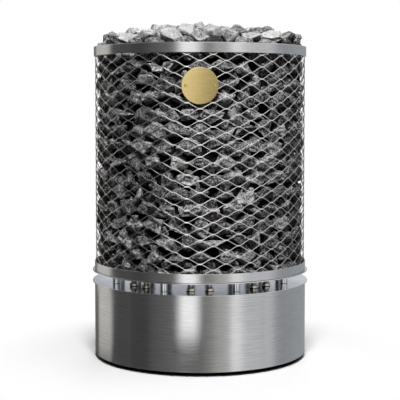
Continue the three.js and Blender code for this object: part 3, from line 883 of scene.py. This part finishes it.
@dataclass
class AirGap:
    """The posts, and the elements' legs with their threaded bushes and nuts."""

    post_edge: float = 0.8 * MM
    tube_radius: float = 4.25 * MM
    leg_spread: float = 42 * MM
    bush_radius: float = 6.8 * MM
    bush_above: float = 13 * MM
    thread_pitch: float = 1.5 * MM
    thread_depth: float = 0.6 * MM
    nut_flats: float = 17 * MM
    nut_turn: float = 18.5
    nut_turn_varies: float = 6.0
    washer_radius: float = 9.3 * MM
    washer_height: float = 0.8 * MM
    bend_steps: int = 16

    def build(self) -> None:
        """Makes the posts, the elements and the nuts."""
        self.posts()
        self.elements()
        self.nuts()

    def posts(self) -> None:
        """Short polished pins between the two plates."""
        names = [f"post_{n}" for n in range(1, 9)]
        solids = []
        for name in names:
            low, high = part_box(name)
            middle = (low + high) / 2
            pin = disc((high.x - low.x) / 2, low.z, high.z, self.post_edge, 48)
            solids.append(pin.moved(Matrix.Translation((middle.x, middle.y, 0))))
        make_piece("posts", Solid.joined(solids), POLISHED_STEEL, names)

    def elements(self) -> None:
        """Hairpins of tube, each leg in a threaded bush."""
        names = [f"heating_element_{n}" for n in range(1, 7)]
        plate_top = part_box("base_top_plate")[1].z
        solids = []
        for name in names:
            low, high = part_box(name)
            middle = (low + high) / 2
            turn = Matrix.Rotation(math.atan2(middle.x, -middle.y), 4, "Z")
            place = Matrix.Translation((middle.x, middle.y, 0)) @ turn
            solids.extend(solid.moved(place) for solid in self.hairpin(plate_top, high.z))
        make_piece("elements", Solid.joined(solids), ELEMENT_STEEL, names)

    def hairpin(self, plate_top: float, top: float) -> list[Solid]:
        """One element at the origin.

        Args:
            plate_top: height that its bushes stand out of.
            top: height of its bend.

        Returns:
            The bent tube and its two bushes.
        """
        bend = self.leg_spread / 2
        bend_height = top - self.tube_radius - bend
        path = [Vector((-bend, 0, plate_top))]
        for step in range(self.bend_steps + 1):
            angle = math.pi * (1 - step / self.bend_steps)
            path.append(Vector((bend * math.cos(angle), 0, bend_height + bend * math.sin(angle))))
        path.append(Vector((bend, 0, plate_top)))
        pin = tube(path, self.tube_radius, Vector((0, 1, 0)), 20)
        bush = self.bush(plate_top)
        return [pin, *(bush.moved(Matrix.Translation((x, 0, 0))) for x in (-bend, bend))]

    def bush(self, low: float) -> Solid:
        """A threaded bush that stands on the plate."""
        outline: Outline = []
        turns = int(self.bush_above / self.thread_pitch)
        for step in range(turns):
            height = low + step * self.thread_pitch
            outline.append((self.bush_radius - self.thread_depth, height))
            outline.append((self.bush_radius, height + self.thread_pitch / 2))
        top = low + self.bush_above
        outline.append((self.bush_radius - self.thread_depth, top))
        outline.append((self.tube_radius, top))
        outline.append((self.tube_radius, low))
        return turned(outline, 32)

    def nuts(self) -> None:
        """The hexagon nuts on the bushes, each on a sealing washer."""
        names = [f"element_nut_{n}" for n in range(1, 13)]
        nuts, washers = [], []
        for number, name in enumerate(names):
            low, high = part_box(name)
            middle = (low + high) / 2
            place = Matrix.Translation((middle.x, middle.y, 0))
            seat = low.z + self.washer_height
            washer = disc(self.washer_radius, low.z, seat, self.washer_height / 4, 32)
            turn = self.nut_turn + self.nut_turn_varies * (chance(number, 14) - 0.5)
            nut = hex_nut(self.nut_flats, self.bush_radius, seat, high.z)
            nuts.append(nut.moved(place @ Matrix.Rotation(math.radians(turn), 4, "Z")))
            washers.append(washer.moved(place))
        make_piece("nuts", Solid.joined(nuts), NUT_STEEL, names)
        make_piece("washers", Solid.joined(washers), BLACK_RUBBER, names)


@dataclass
class Basket:
    """The plate, the two bands and the net of expanded metal."""

    wall: float = 2 * MM
    edge: float = 0.9 * MM
    columns: int = 27
    bond_step: float = 12.97 * MM
    first_bond: float = 4.8 * MM
    strand_width: float = 1.25 * MM
    strand_depth: float = 1.3 * MM
    strand_lean: float = 18.0
    bond_share: float = 0.30
    steps: int = 16
    sides: int = 192

    def build(self) -> None:
        """Makes the plate, the bands and the net."""
        low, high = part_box("basket_plate")
        plate = disc(high.x, low.z, high.z, self.edge, self.sides)
        make_piece("basket_plate_polished", plate, POLISHED_STEEL, ["basket_plate"])
        for node in ("lower_band", "top_band"):
            self.band(node)
        self.net()

    def band(self, node: str) -> None:
        """One brushed band with rounded edges.

        Args:
            node: the CAD node that it stands for.
        """
        low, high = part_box(node)
        inner = high.x - self.wall
        corners = [(high.x, low.z), (high.x, high.z), (inner, high.z), (inner, low.z)]
        ring = turned(rounded(corners, self.edge), self.sides)
        make_piece(f"{node}_brushed", ring, BAND_STEEL, [node])

    def net(self) -> None:
        """Wavy strands, each joined to the next ones at its crests and hollows."""
        low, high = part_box("basket_net")
        first_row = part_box("top_band")[0].z - self.first_bond
        rows_above = int((high.z - first_row) / self.bond_step)
        rows_below = int((first_row - low.z) / self.bond_step)
        strands = [
            self.strand(-low.y, first_row - row * self.bond_step, row % 2)
            for row in range(-rows_above, rows_below)
        ]
        make_piece("net", Solid.joined(strands), NET_STEEL, ["basket_net"])

    def strand(self, reach: float, top: float, phase: int) -> Solid:
        """One strand round the basket.

        Args:
            reach: the largest radius that the net takes up.
            top: height of the row of bonds at its crests.
            phase: 0 where its crests lie half a column from the front, 1 where its hollows do.

        Returns:
            A closed wavy ribbon.
        """
        lean = math.radians(self.strand_lean)
        half_width, half_depth = self.strand_width / 2, self.strand_depth / 2
        middle = top - self.bond_step / 2
        swing = (self.bond_step - self.strand_width * math.cos(lean)) / 2
        depth = 2 * self.strand_width * math.sin(lean) + self.strand_depth * math.cos(lean)
        mean_radius = reach - depth / 2
        count = self.columns * self.steps
        angle = np.arange(count) * 2 * math.pi / count
        turn = self.columns * angle + math.pi * (1 - phase)
        zigzag = np.arcsin(np.cos(turn)) * 2 / math.pi
        wave = np.clip(zigzag / (1 - self.bond_share), -1, 1)
        height = middle + swing * wave
        radius = mean_radius + half_width * math.sin(lean) * wave
        slope = (np.roll(height, -1) - np.roll(height, 1)) / (2 * mean_radius * (angle[1] - angle[0]))
        flat = 1 / np.sqrt(1 + slope**2)
        corners = []
        for across, out in ((-1, -1), (-1, 1), (1, 1), (1, -1)):
            rise = across * half_width * math.cos(lean) + out * half_depth * math.sin(lean)
            stand = -across * half_width * math.sin(lean) + out * half_depth * math.cos(lean)
            at = angle - rise * slope * flat / mean_radius
            corners.append(
                np.stack(
                    [
                        (radius + stand) * np.sin(at),
                        -(radius + stand) * np.cos(at),
                        height + rise * flat,
                    ],
                    axis=-1,
                )
            )
        points = np.concatenate(corners)
        faces = []
        for side in range(4):
            near, far = side * count, (side + 1) % 4 * count
            for j in range(count):
                k = (j + 1) % count
                faces.append((near + j, far + j, far + k, near + k))
        return Solid(points, faces)


def chance(stone: int, trait: int) -> float:
    """A repeatable number from 0 to 1 for a stone and a trait of it."""
    wave = math.sin(stone * 12.9898 + trait * 78.233) * 43758.5453
    return wave - math.floor(wave)


@dataclass
class Stones:
    """Split stones: courses behind the net, a heap above the rim and the mass inside, painted near black as
    the shade deep in the basket.

    Each stone lies where the solid model has it.
    """

    shapes: int = 32
    corners: int = 14
    chip: float = 0.1
    dent: float = 0.09
    longest_edge: float = 0.5
    heap_halves: Colour = (34 * MM, 29 * MM, 23 * MM)
    wall_halves: Colour = (34 * MM, 32 * MM, 24 * MM)
    chip_halves: Colour = (17 * MM, 15 * MM, 13 * MM)
    chip_back: float = 13 * MM
    chip_seeds: int = 2000
    chip_painted_shade: float = 0.5
    variation: float = 0.4
    columns: int = 28
    courses: int = 15
    courses_in_piece: int = 5
    face: float = 0.6
    stray: float = 0.16
    roll: float = 0.45
    back: float = 4 * MM
    press: float = 6 * MM
    bulge: float = 0.12
    lean: float = 8 * MM
    net_depth: float = 2.0 * MM
    clearance: float = 1 * MM
    heap_tilt: float = 0.8
    heap_sink: float = 2 * MM
    heap_rise: float = 32 * MM
    heap_fullness: float = 4.0
    heap_edge: float = 33 * MM
    heap_step: float = 50 * MM
    heap_pitch: float = 60 * MM
    heap_seeds: int = 100
    heap_chip_halves: Colour = (29 * MM, 26 * MM, 20 * MM)
    heap_chips: int = 4
    heap_chip_drop: float = 11 * MM
    heap_chip_edge: float = 20 * MM
    core_gap: float = 21 * MM
    core_lump: float = 4 * MM
    core_sides: int = 112
    core_rows: int = 60
    core_shoulder: float = 150 * MM
    core_rise: float = 14 * MM
    seed: int = 11

    def build(self) -> None:
        """Makes the stones in a few pieces."""
        rng = np.random.default_rng(self.seed)
        self.library = [self.shape(rng) for _ in range(self.shapes)]
        self.reach = -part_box("basket_net")[0].y - self.net_depth - self.clearance
        self.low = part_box("stone_bed")[0].z
        self.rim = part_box("top_band")[1].z
        for first in range(0, self.courses, self.courses_in_piece):
            stones = [
                make_stone(course, column)
                for make_stone in (self.wall_stone, self.wall_chip)
                for course in range(first, first + self.courses_in_piece)
                for column in range(self.columns)
            ]
            name = f"wall_stones_{first // self.courses_in_piece + 1}"
            make_piece(name, Solid.joined(stones), STONE, ["stone_bed"], shading=Shading.FACETED)
        heap = Solid.joined(self.heap())
        make_piece("heap_stones", heap, LIT_HEAP_STONE, ["stone_bed"], shading=Shading.FACETED)
        make_piece("inner_stones", self.core(), PAINTED_SHADE_STONE, ["stone_bed"])

    def shape(self, rng: np.random.Generator) -> Solid:
        """One stone of about unit size: a hull of random corners with chipped edges.

        Args:
            rng: the source of the corners.

        Returns:
            The solid, with how far each point stands on an edge.
        """
        spread = rng.normal(size=(self.corners, 3))
        spread /= np.linalg.norm(spread, axis=1)[:, None]
        spread *= rng.uniform(0.82, 1.0, size=(self.corners, 1))
        drift = Vector(rng.uniform(0, 50, size=3))
        mesh = bmesh.new()
        for point in spread:
            mesh.verts.new(point)
        hull = bmesh.ops.convex_hull(mesh, input=mesh.verts)
        loose = {item for item in hull["geom_interior"] if isinstance(item, bmesh.types.BMVert)}
        bmesh.ops.delete(mesh, geom=list(loose), context="VERTS")
        flat = math.radians(14)
        bmesh.ops.dissolve_limit(mesh, angle_limit=flat, verts=mesh.verts[:], edges=mesh.edges[:])
        edges = mesh.edges[:]
        bmesh.ops.bevel(
            mesh, geom=edges, offset=self.chip, segments=1, profile=0.5, affect="EDGES", clamp_overlap=True
        )
        bmesh.ops.triangulate(mesh, faces=mesh.faces[:])
        long_edges = [edge for edge in mesh.edges if edge.calc_length() > self.longest_edge]
        bmesh.ops.subdivide_edges(mesh, edges=long_edges, cuts=1)
        bmesh.ops.triangulate(mesh, faces=mesh.faces[:])
        mesh.normal_update()
        mesh.verts.index_update()
        edge = [min(1.0, 6.0 * (vert.calc_shell_factor() - 1.0)) for vert in mesh.verts]
        for vert in mesh.verts:
            vert.co += vert.normal * self.dent * noise.fractal(vert.co * 2.2 + drift, 0.8, 2.0, 3)
        points = np.array([vert.co for vert in mesh.verts])
        faces = [tuple(vert.index for vert in face.verts) for face in mesh.faces]
        mesh.free()
        return Solid(points, faces, {"edge": np.array(edge)})

    def stone(self, number: int, halves: Colour, place: Matrix, painted_shade: float = 0.0) -> Solid:
        """One stone of the library with its own size and tone.

        Args:
            number: of the stone.
            halves: half its usual length, depth and height.
            place: where it lies and how it is turned.
            painted_shade: how much darker it is painted than the others, as painted shade where it lies back
                in a joint.

        Returns:
            The placed stone.
        """
        shape = self.library[int(chance(number, 10) * len(self.library))]
        sizes = [
            half * (1 + self.variation * (chance(number, trait) - 0.5))
            for half, trait in zip(halves, (2, 3, 4))
        ]
        spin = Matrix.Rotation(math.floor(chance(number, 11) * 4) * math.pi / 2, 4, "Y")
        solid = shape.moved(place @ Matrix.Diagonal((*sizes, 1)) @ spin)
        # Painted shade lowers the tone, so a stone lying in a joint is painted darker.
        tone = np.full(len(solid.points), chance(number, 12) - painted_shade)
        return Solid(solid.points, solid.faces, {**solid.traits, "tone": tone})

    def wall_stone(self, course: int, column: int) -> Solid:
        """One stone behind the net, drawn back to where its course has it.

        Args:
            course: its course, from the bottom.
            column: its place in the course.

        Returns:
            The placed stone.
        """
        number = course * self.columns + column
        share = {trait: chance(number, trait) - 0.5 for trait in range(2, 7)}
        pitch = 2 * math.pi * self.reach / self.columns
        rise = (self.rim - self.heap_sink - self.low) / self.courses
        heading = 360 / self.columns * (column + 0.5 + course % 2 / 2 + self.stray * share[4])
        height = self.low + rise * (course + 0.5 + self.stray * share[5])
        turn = math.radians(heading) - math.atan2(self.lean * share[2], self.face * pitch / 2)
        nod = math.atan2(self.lean * share[3], self.face * rise / 2)
        place = (
            Matrix.Translation(at_angle(self.reach - self.wall_halves[1], heading, height))
            @ Matrix.Rotation(turn, 4, "Z")
            @ Matrix.Rotation(nod, 4, "X")
            @ Matrix.Rotation(-self.roll * share[6], 4, "Y")
        )
        stone = self.stone(number, self.wall_halves, place)
        return self.pressed(stone, self.reach - self.back * chance(number, 1), heading)

    def wall_chip(self, course: int, column: int) -> Solid:
        """One small stone in the joint under a course, further back than its neighbours and painted darker
        as shade.

        Args:
            course: the course above it, from the bottom.
            column: its place in the joint.

        Returns:
            The placed stone.
        """
        number = self.chip_seeds + course * self.columns + column
        rise = (self.rim - self.heap_sink - self.low) / self.courses
        heading = 360 / self.columns * (column + course % 2 / 2 + self.stray * (chance(number, 5) - 0.5))
        height = max(self.low + self.chip_halves[2], self.low + rise * course)
        turns = [math.tau * chance(number, trait) for trait in (6, 7)]
        place = (
            Matrix.Translation(at_angle(self.reach - self.chip_back, heading, height))
            @ Matrix.Rotation(turns[0], 4, "Z")
            @ Matrix.Rotation(turns[1], 4, "Y")
        )
        chip = self.stone(number, self.chip_halves, place, self.chip_painted_shade)
        return self.pressed(chip, self.reach - self.chip_back * (1 + chance(number, 1)) / 2, heading)

    def pressed(self, stone: Solid, limit: float, heading: float) -> Solid:
        """A stone moved outwards against the net, its outer side flattened there.

        Args:
            stone: the stone.
            limit: the radius at which its outer side lies.
            heading: its angle from the front.

        Returns:
            The moved stone, standing no lower than the basket's plate.
        """
        farthest = np.hypot(stone.points[:, 0], stone.points[:, 1]).max()
        lift = max(0.0, self.low - stone.points[:, 2].min())
        moved = stone.moved(Matrix.Translation(at_angle(limit + self.press - farthest, heading, lift)))
        radius = np.hypot(moved.points[:, 0], moved.points[:, 1])
        kept = np.minimum(radius, limit + self.bulge * (radius - limit))
        moved.points[:, :2] *= (kept / radius)[:, None]
        return moved

    def heap(self) -> list[Solid]:
        """Rings of stones above the rim, highest in the middle, and small stones in their joints."""
        radii = np.arange(self.reach - self.heap_edge, self.heap_step / 2, -self.heap_step).tolist()
        stones = []
        for row, radius in enumerate([*radii, 0.0]):
            count = max(1, round(2 * math.pi * radius / self.heap_pitch))
            joints = [self.reach - self.heap_chip_edge]
            if row:
                joints = [joint for joint in (radius + self.heap_step / 2, radius) if joint]
            for i in range(count):
                number = row * self.heap_seeds + i
                heading = (row * 180 + i * 360) / count
                stones.append(self.heap_stone(number, self.heap_halves, radius, heading))
            count = max(count, self.heap_chips)
            for i in range(count):
                number = row * self.heap_seeds + i
                heading = (row * 180 + 180 + i * 360) / count
                for joint in joints:
                    number += self.chip_seeds
                    halves, drop = self.heap_chip_halves, self.heap_chip_drop
                    stones.append(self.heap_stone(number, halves, joint, heading, drop))
        return stones

    def heap_stone(
        self, number: int, halves: Colour, radius: float, heading: float, drop: float = 0.0
    ) -> Solid:
        """One stone of the heap.

        Args:
            number: of the stone.
            halves: half its usual length, depth and height.
            radius: of its ring.
            heading: its angle from the front.
            drop: how far it lies below the heap's surface.

        Returns:
            The placed stone.
        """
        height = self.rim + self.heap_rise * (1 - (radius / self.reach) ** self.heap_fullness) - drop
        tilts = [self.heap_tilt * (chance(number, trait) - 0.5) for trait in (5, 6, 7)]
        place = (
            Matrix.Translation(at_angle(radius, heading, height))
            @ Matrix.Rotation(math.radians(heading) + tilts[2], 4, "Z")
            @ Matrix.Rotation(tilts[1], 4, "Y")
            @ Matrix.Rotation(tilts[0], 4, "X")
        )
        # A stone that lies below the heap's surface is painted darker, as painted shade.
        stone = self.stone(number, halves, place, self.chip_painted_shade if drop else 0.0)
        overhang = max(0.0, np.hypot(stone.points[:, 0], stone.points[:, 1]).max() - self.reach)
        return stone.moved(Matrix.Translation(at_angle(-overhang, heading)))

    def core(self) -> Solid:
        """The lumpy mass that closes the view between the stones, painted near black as the shade deep
        inside.
        """
        radius = self.reach - self.core_gap
        top = self.rim - self.heap_sink
        rings = [(radius, height) for height in np.linspace(self.low, top, self.core_rows).tolist()]
        rings.append((self.core_shoulder, top + self.core_rise))
        core = turned([(0.0, self.low), *rings, (0.0, top + self.core_rise)], self.core_sides)
        for point in core.points:
            lump = 1 + self.core_lump / radius * noise.noise(Vector(point) * 45)
            point[:2] *= lump
        count = len(core.points)
        return Solid(core.points, core.faces, {"tone": np.full(count, 0.3), "edge": np.zeros(count)})


@dataclass
class Badge:
    """The round brass plate at the front and its two screws."""

    edge: float = 0.6 * MM
    dome: float = 1.2 * MM
    dome_steps: int = 10
    screw_radius: float = 2 * MM
    screw_edge: float = 0.5 * MM

    def build(self) -> None:
        """Makes the plate and the screws, lying down, and stands them at the front."""
        low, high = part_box("badge_plate")
        stand = Matrix.Translation((0, 0, (low.z + high.z) / 2)) @ Matrix.Rotation(math.pi / 2, 4, "X")
        radius = (high.x - low.x) / 2
        shoulder = -low.y - self.dome
        rim = rounded([(0.0, -high.y), (radius, -high.y), (radius, shoulder), (0.0, shoulder)], self.edge)
        face = [
            (radius * share, shoulder + self.dome * (1 - share**2))
            for share in np.linspace(0.95, 0.0, self.dome_steps).tolist()
        ]
        plate = turned(rim[:-2] + face, 128)
        make_piece("brass_plate", plate.moved(stand), BRASS, ["badge_plate"])
        for number in (1, 2):
            self.screw(number)

    def screw(self, number: int) -> None:
        """One domed screw.

        Args:
            number: of the screw.
        """
        node = f"badge_screw_{number}"
        low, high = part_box(node)
        middle = (low + high) / 2
        head = (high.x - low.x) / 2
        seat = -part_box("badge_plate")[0].y
        outline = [
            (0.0, -high.y),
            (self.screw_radius, -high.y),
            (self.screw_radius, seat),
            (head, seat),
            (head, seat + self.screw_edge),
            (0.6 * head, -low.y),
            (0.0, -low.y),
        ]
        stand = Matrix.Translation((middle.x, 0, middle.z)) @ Matrix.Rotation(math.pi / 2, 4, "X")
        screw = turned(rounded(outline, self.screw_edge), 32).moved(stand)
        make_piece(f"brass_screw_{number}", screw, BRASS, [node])


# Studio


def grey(level: float) -> Colour:
    """A grey of this level."""
    return (level, level, level)


@dataclass(frozen=True)
class Screen:
    """A curved screen that metal reflects, glowing evenly from each stop to the next.

    A stop is an angle from the front and the glow there.
    """

    stops: tuple[tuple[float, Colour], ...]
    low: float = -20.0
    high: float = 2.0
    radius: float = 5.0
    step: float = 4.0


@dataclass(frozen=True)
class Strip:
    """A patch of the floor that the drum reflects, grey beside the drum as a painted shadow of the floor
    there, and as its stops far from it.

    A stop is an angle of the drum's wall and the far glow there. A reach is a distance from the wall
    and the share of the far glow at that distance.
    """

    # The grey beside the drum: painted shadow of the floor.
    near: float
    stops: tuple[tuple[float, Colour], ...]
    reaches: tuple[tuple[float, float], ...]

    def glow(self, far: Colour, share: float) -> Colour:
        """The glow where the share of the far glow is this much."""
        red, green, blue = (max(self.near + (level - self.near) * share, 0.0) for level in far)
        return (red, green, blue)


@dataclass(frozen=True)
class Lamp:
    """A soft square lamp."""

    place: Colour
    size: float
    watts: float


@dataclass
class Studio:
    """A pale floor, soft lamps, reflected cards and the camera."""

    aim: Colour = (0.0, 0.0, 0.4)
    floor_radius: float = 12.0
    floor_colour: Colour = (0.80, 0.80, 0.80)
    floor_fade: tuple[float, float] = (0.22, 0.55)
    ambient: float = 0.02
    camera_distance: float = 2.692
    camera_height: float = 0.597
    camera_tilt: float = 3.466
    camera_lens: float = 102.06
    camera_shift: float = -0.07
    lamps: tuple[Lamp, ...] = (
        Lamp((0.0, -1.8, 2.8), 0.7, 112.0),
        Lamp((0.7, -0.3, 3.2), 2.0, 22.0),
        Lamp((0.2, 2.4, 2.4), 1.2, 26.0),
    )
    screens: tuple[Screen, ...] = (
        Screen(
            (
                (-180, (0.66, 0.68, 0.71)),
                (-173, (0.66, 0.68, 0.71)),
                (-170, grey(0.20)),
                (-151, grey(0.15)),
                (-144, (0.60, 0.59, 0.56)),
                (-138, (0.66, 0.65, 0.62)),
                (-136, (0.46, 0.45, 0.43)),
                (-134, (0.66, 0.65, 0.62)),
                (-113, (0.68, 0.67, 0.64)),
                (-106, grey(0.09)),
                (-84, grey(0.085)),
                (-80, grey(0.10)),
                (-76, grey(0.07)),
                (-58, grey(0.072)),
                (-50, grey(0.12)),
                (-36, grey(0.155)),
                (-18, grey(0.20)),
                (-8, grey(0.17)),
                (0, (0.165, 0.165, 0.16)),
                (6, (0.24, 0.24, 0.23)),
                (12, (0.32, 0.32, 0.31)),
                (17, (0.46, 0.46, 0.44)),
                (28, (0.56, 0.56, 0.54)),
                (31, grey(0.70)),
                (34, grey(1.04)),
                (41, grey(1.02)),
                (46, (0.78, 0.79, 0.80)),
                (50, (0.69, 0.70, 0.72)),
                (60, (0.67, 0.68, 0.70)),
                (64, (0.71, 0.72, 0.74)),
                (68, (0.60, 0.61, 0.63)),
                (72, (0.68, 0.69, 0.71)),
                (80, (0.66, 0.67, 0.69)),
                (88, (0.42, 0.43, 0.45)),
                (98, (0.36, 0.38, 0.40)),
                (126, (0.40, 0.42, 0.44)),
                (165, (0.34, 0.36, 0.38)),
                (170, (0.66, 0.68, 0.71)),
                (180, (0.66, 0.68, 0.71)),
            )
        ),
        Screen(
            ((-26, grey(0.20)), (-18, grey(1.3)), (-5, grey(1.2)), (5, grey(0.30))),
            low=0.0,
            radius=4.5,
        ),
        Screen(
            (
                (-180, grey(1.1)),
                (-120, grey(1.0)),
                (-105, grey(0.3)),
                (-95, grey(0.18)),
                (-32, grey(0.20)),
                (-20, grey(2.0)),
                (-6, grey(2.0)),
                (8, grey(1.2)),
                (60, grey(1.0)),
                (180, grey(1.1)),
            ),
            low=2.0,
            high=20.0,
        ),
    )
    strips: tuple[Strip, ...] = (
        Strip(
            near=0.10,
            stops=((-14.0, grey(0.15)), (-9.0, grey(1.58)), (-3.5, grey(1.58)), (1.5, grey(0.15))),
            reaches=((0.2, 0.0), (0.37, -0.04), (0.44, 1.1), (0.8, 0.9), (1.6, 0.8), (4.5, 0.7)),
        ),
        # This patch paints the floor's shadow left of the drum into the drum's reflection.
        Strip(
            near=0.05,
            stops=(
                (-80.0, grey(0.17)),
                (-74.0, grey(0.10)),
                (-71.0, (0.60, 0.59, 0.56)),
                (-68.0, (0.68, 0.67, 0.64)),
                (-56.5, (0.72, 0.71, 0.68)),
                (-53.0, grey(0.09)),
            ),
            reaches=((0.0, 0.3), (0.2, 0.75), (0.5, 0.94), (1.0, 1.0)),
        ),
    )

    def build(self) -> None:
        """Sets up everything that isn't the object."""
        bpy.context.scene.view_settings.view_transform = "Standard"
        self.world()
        self.floor()
        for number, screen in enumerate(self.screens, 1):
            self.screen(f"screen_{number}", screen)
        for number, strip in enumerate(self.strips, 1):
            self.strip(f"strip_{number}", strip)
        for number, lamp in enumerate(self.lamps, 1):
            self.lamp(number, lamp)
        self.camera()

    def world(self) -> None:
        """White wherever it is seen or reflected, and a soft fill elsewhere."""
        world = bpy.data.worlds.new("studio")
        bpy.context.scene.world = world
        world.use_nodes = True
        graph = Graph(world.node_tree)
        rays = ("Is Camera Ray", "Is Glossy Ray", "Is Transmission Ray")
        seen = [graph.node("ShaderNodeLightPath", output=ray) for ray in rays]
        shown = graph.node("ShaderNodeClamp", {}, {"Value": seen[0] + seen[1] + seen[2]})
        strength = shown * (1.0 - self.ambient) + self.ambient
        shader = graph.node("ShaderNodeBackground", {}, {"Color": (1, 1, 1, 1), "Strength": strength})
        graph.node("ShaderNodeOutputWorld", {}, {"Surface": shader})

    def floor(self) -> None:
        """A round floor that turns into the white background with distance."""
        mesh = bpy.data.meshes.new("floor")
        sides = 96
        points = [at_angle(self.floor_radius, side * 360 / sides) for side in range(sides)]
        mesh.from_pydata([tuple(point) for point in points], [], [tuple(range(sides))])
        floor = bpy.data.objects.new("floor", mesh)
        bpy.context.scene.collection.objects.link(floor)
        material = bpy.data.materials.new("floor")
        material.use_nodes = True
        graph = Graph(material.node_tree)
        far = graph.node("ShaderNodeVectorMath", {"operation": "LENGTH"}, {0: graph.place()}, "Value")
        start, end = self.floor_fade
        limits = {"Value": far, "From Min": start, "From Max": end}
        fade = graph.node("ShaderNodeMapRange", {"interpolation_type": "SMOOTHSTEP"}, limits)
        shown = fade * graph.node("ShaderNodeLightPath", output="Is Camera Ray")
        matt = graph.node("ShaderNodeBsdfDiffuse", {}, {"Color": (*self.floor_colour, 1)})
        white = graph.node("ShaderNodeEmission", {}, {"Color": (1, 1, 1, 1), "Strength": 1.0})
        shader = graph.node("ShaderNodeMixShader", {}, {0: shown, 1: matt, 2: white})
        graph.node("ShaderNodeOutputMaterial", {}, {"Surface": shader})
        mesh.materials.append(material)
        floor.visible_glossy = False
        floor.visible_diffuse = False

    def screen(self, name: str, screen: Screen) -> None:
        """One curved screen.

        Args:
            name: of the screen.
            screen: its place and its stops.
        """
        stops = [stop for stop, _ in screen.stops]
        between = np.arange(stops[0], stops[-1], screen.step).tolist()
        angles = sorted({*stops, *between})
        levels = [np.interp(angles, stops, channel) for channel in zip(*(glow for _, glow in screen.stops))]
        points = [at_angle(screen.radius, a, height) for height in (screen.low, screen.high) for a in angles]
        count = len(angles)
        faces = [(i, i + 1, count + i + 1, count + i) for i in range(count - 1)]
        self.panel(name, points, faces, list(zip(*levels)) * 2)

    def strip(self, name: str, strip: Strip) -> None:
        """One patch of the floor, along the paths of reflected sight lines.

        Args:
            name: of the patch.
            strip: its stops and reaches.
        """
        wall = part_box("base_drum")[1].x
        points, glows = [], []
        for angle, far in strip.stops:
            for away, share in strip.reaches:
                points.append(at_angle(wall, angle) + at_angle(away, 2 * angle))
                glows.append(strip.glow(far, share))
        row = len(strip.reaches)
        starts = [i for i in range(len(points) - row) if (i + 1) % row]
        faces = [(i, i + row, i + row + 1, i + 1) for i in starts]
        self.panel(name, points, faces, glows)

    def panel(
        self, name: str, points: list[Vector], faces: list[tuple[int, ...]], glows: list[Colour]
    ) -> None:
        """A glowing sheet that is seen only in reflections.

        Args:
            name: of the sheet.
            points: its corners.
            faces: the corners of each facet.
            glows: the brightness at each corner.
        """
        mesh = bpy.data.meshes.new(name)
        mesh.from_pydata([tuple(point) for point in points], [], faces)
        shades = mesh.color_attributes.new("glow", "FLOAT_COLOR", "POINT")
        for shade, glow in zip(shades.data, glows):
            shade.color = (*glow, 1.0)
        material = bpy.data.materials.new(name)
        material.use_nodes = True
        graph = Graph(material.node_tree)
        glow = graph.node("ShaderNodeAttribute", {"attribute_name": "glow"}, output="Color")
        light = graph.node("ShaderNodeEmission", {}, {"Color": glow, "Strength": 1.0})
        graph.node("ShaderNodeOutputMaterial", {}, {"Surface": light})
        mesh.materials.append(material)
        sheet = bpy.data.objects.new(name, mesh)
        bpy.context.scene.collection.objects.link(sheet)
        sheet.visible_camera = False
        sheet.visible_diffuse = False
        sheet.visible_transmission = False
        sheet.visible_shadow = False

    def lamp(self, number: int, lamp: Lamp) -> None:
        """One lamp, aimed at the heater.

        Args:
            number: of the lamp.
            lamp: its place, size and power.
        """
        data = bpy.data.lights.new(f"lamp_{number}", "AREA")
        data.size = lamp.size
        data.energy = lamp.watts
        light = bpy.data.objects.new(f"lamp_{number}", data)
        light.location = lamp.place
        aim = Vector(self.aim) - Vector(lamp.place)
        light.rotation_euler = aim.to_track_quat("-Z", "Y").to_euler()
        light.visible_glossy = False
        bpy.context.scene.collection.objects.link(light)

    def camera(self) -> None:
        """The camera, in front of the heater and a little above its middle."""
        data = bpy.data.cameras.new("camera")
        data.lens = self.camera_lens
        data.shift_y = self.camera_shift
        camera = bpy.data.objects.new("camera", data)
        camera.location = (0.0, -self.camera_distance, self.camera_height)
        camera.rotation_euler = (math.radians(90 - self.camera_tilt), 0.0, 0.0)
        bpy.context.scene.collection.objects.link(camera)
        bpy.context.scene.camera = camera


def dress_carried_nodes(frame: dict[str, Any]) -> None:
    """Gives each CAD node that stays in view its finish.

    Args:
        frame: the loaded frame.
    """
    for subpart in frame["record"]["subparts"]:
        node = frame["nodes"][subpart["node"]]
        if not node.hide_render:
            finish = CARRIED_FINISHES[subpart["material_slot"]]
            node.data.materials.clear()
            node.data.materials.append(finish.material())
            LOG.info("%s: carried over in %s", node.name, finish.name)


def main() -> None:
    """Loads the frame, builds each sub-assembly around it and sets up the studio."""
    logging.basicConfig(level=logging.INFO, format="%(name)s %(message)s")
    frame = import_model()
    Studio().build()
    for assembly in (Base(), AirGap(), Basket(), Stones(), Badge()):
        assembly.build()
    dress_carried_nodes(frame)


if __name__ == "__main__":
    main()
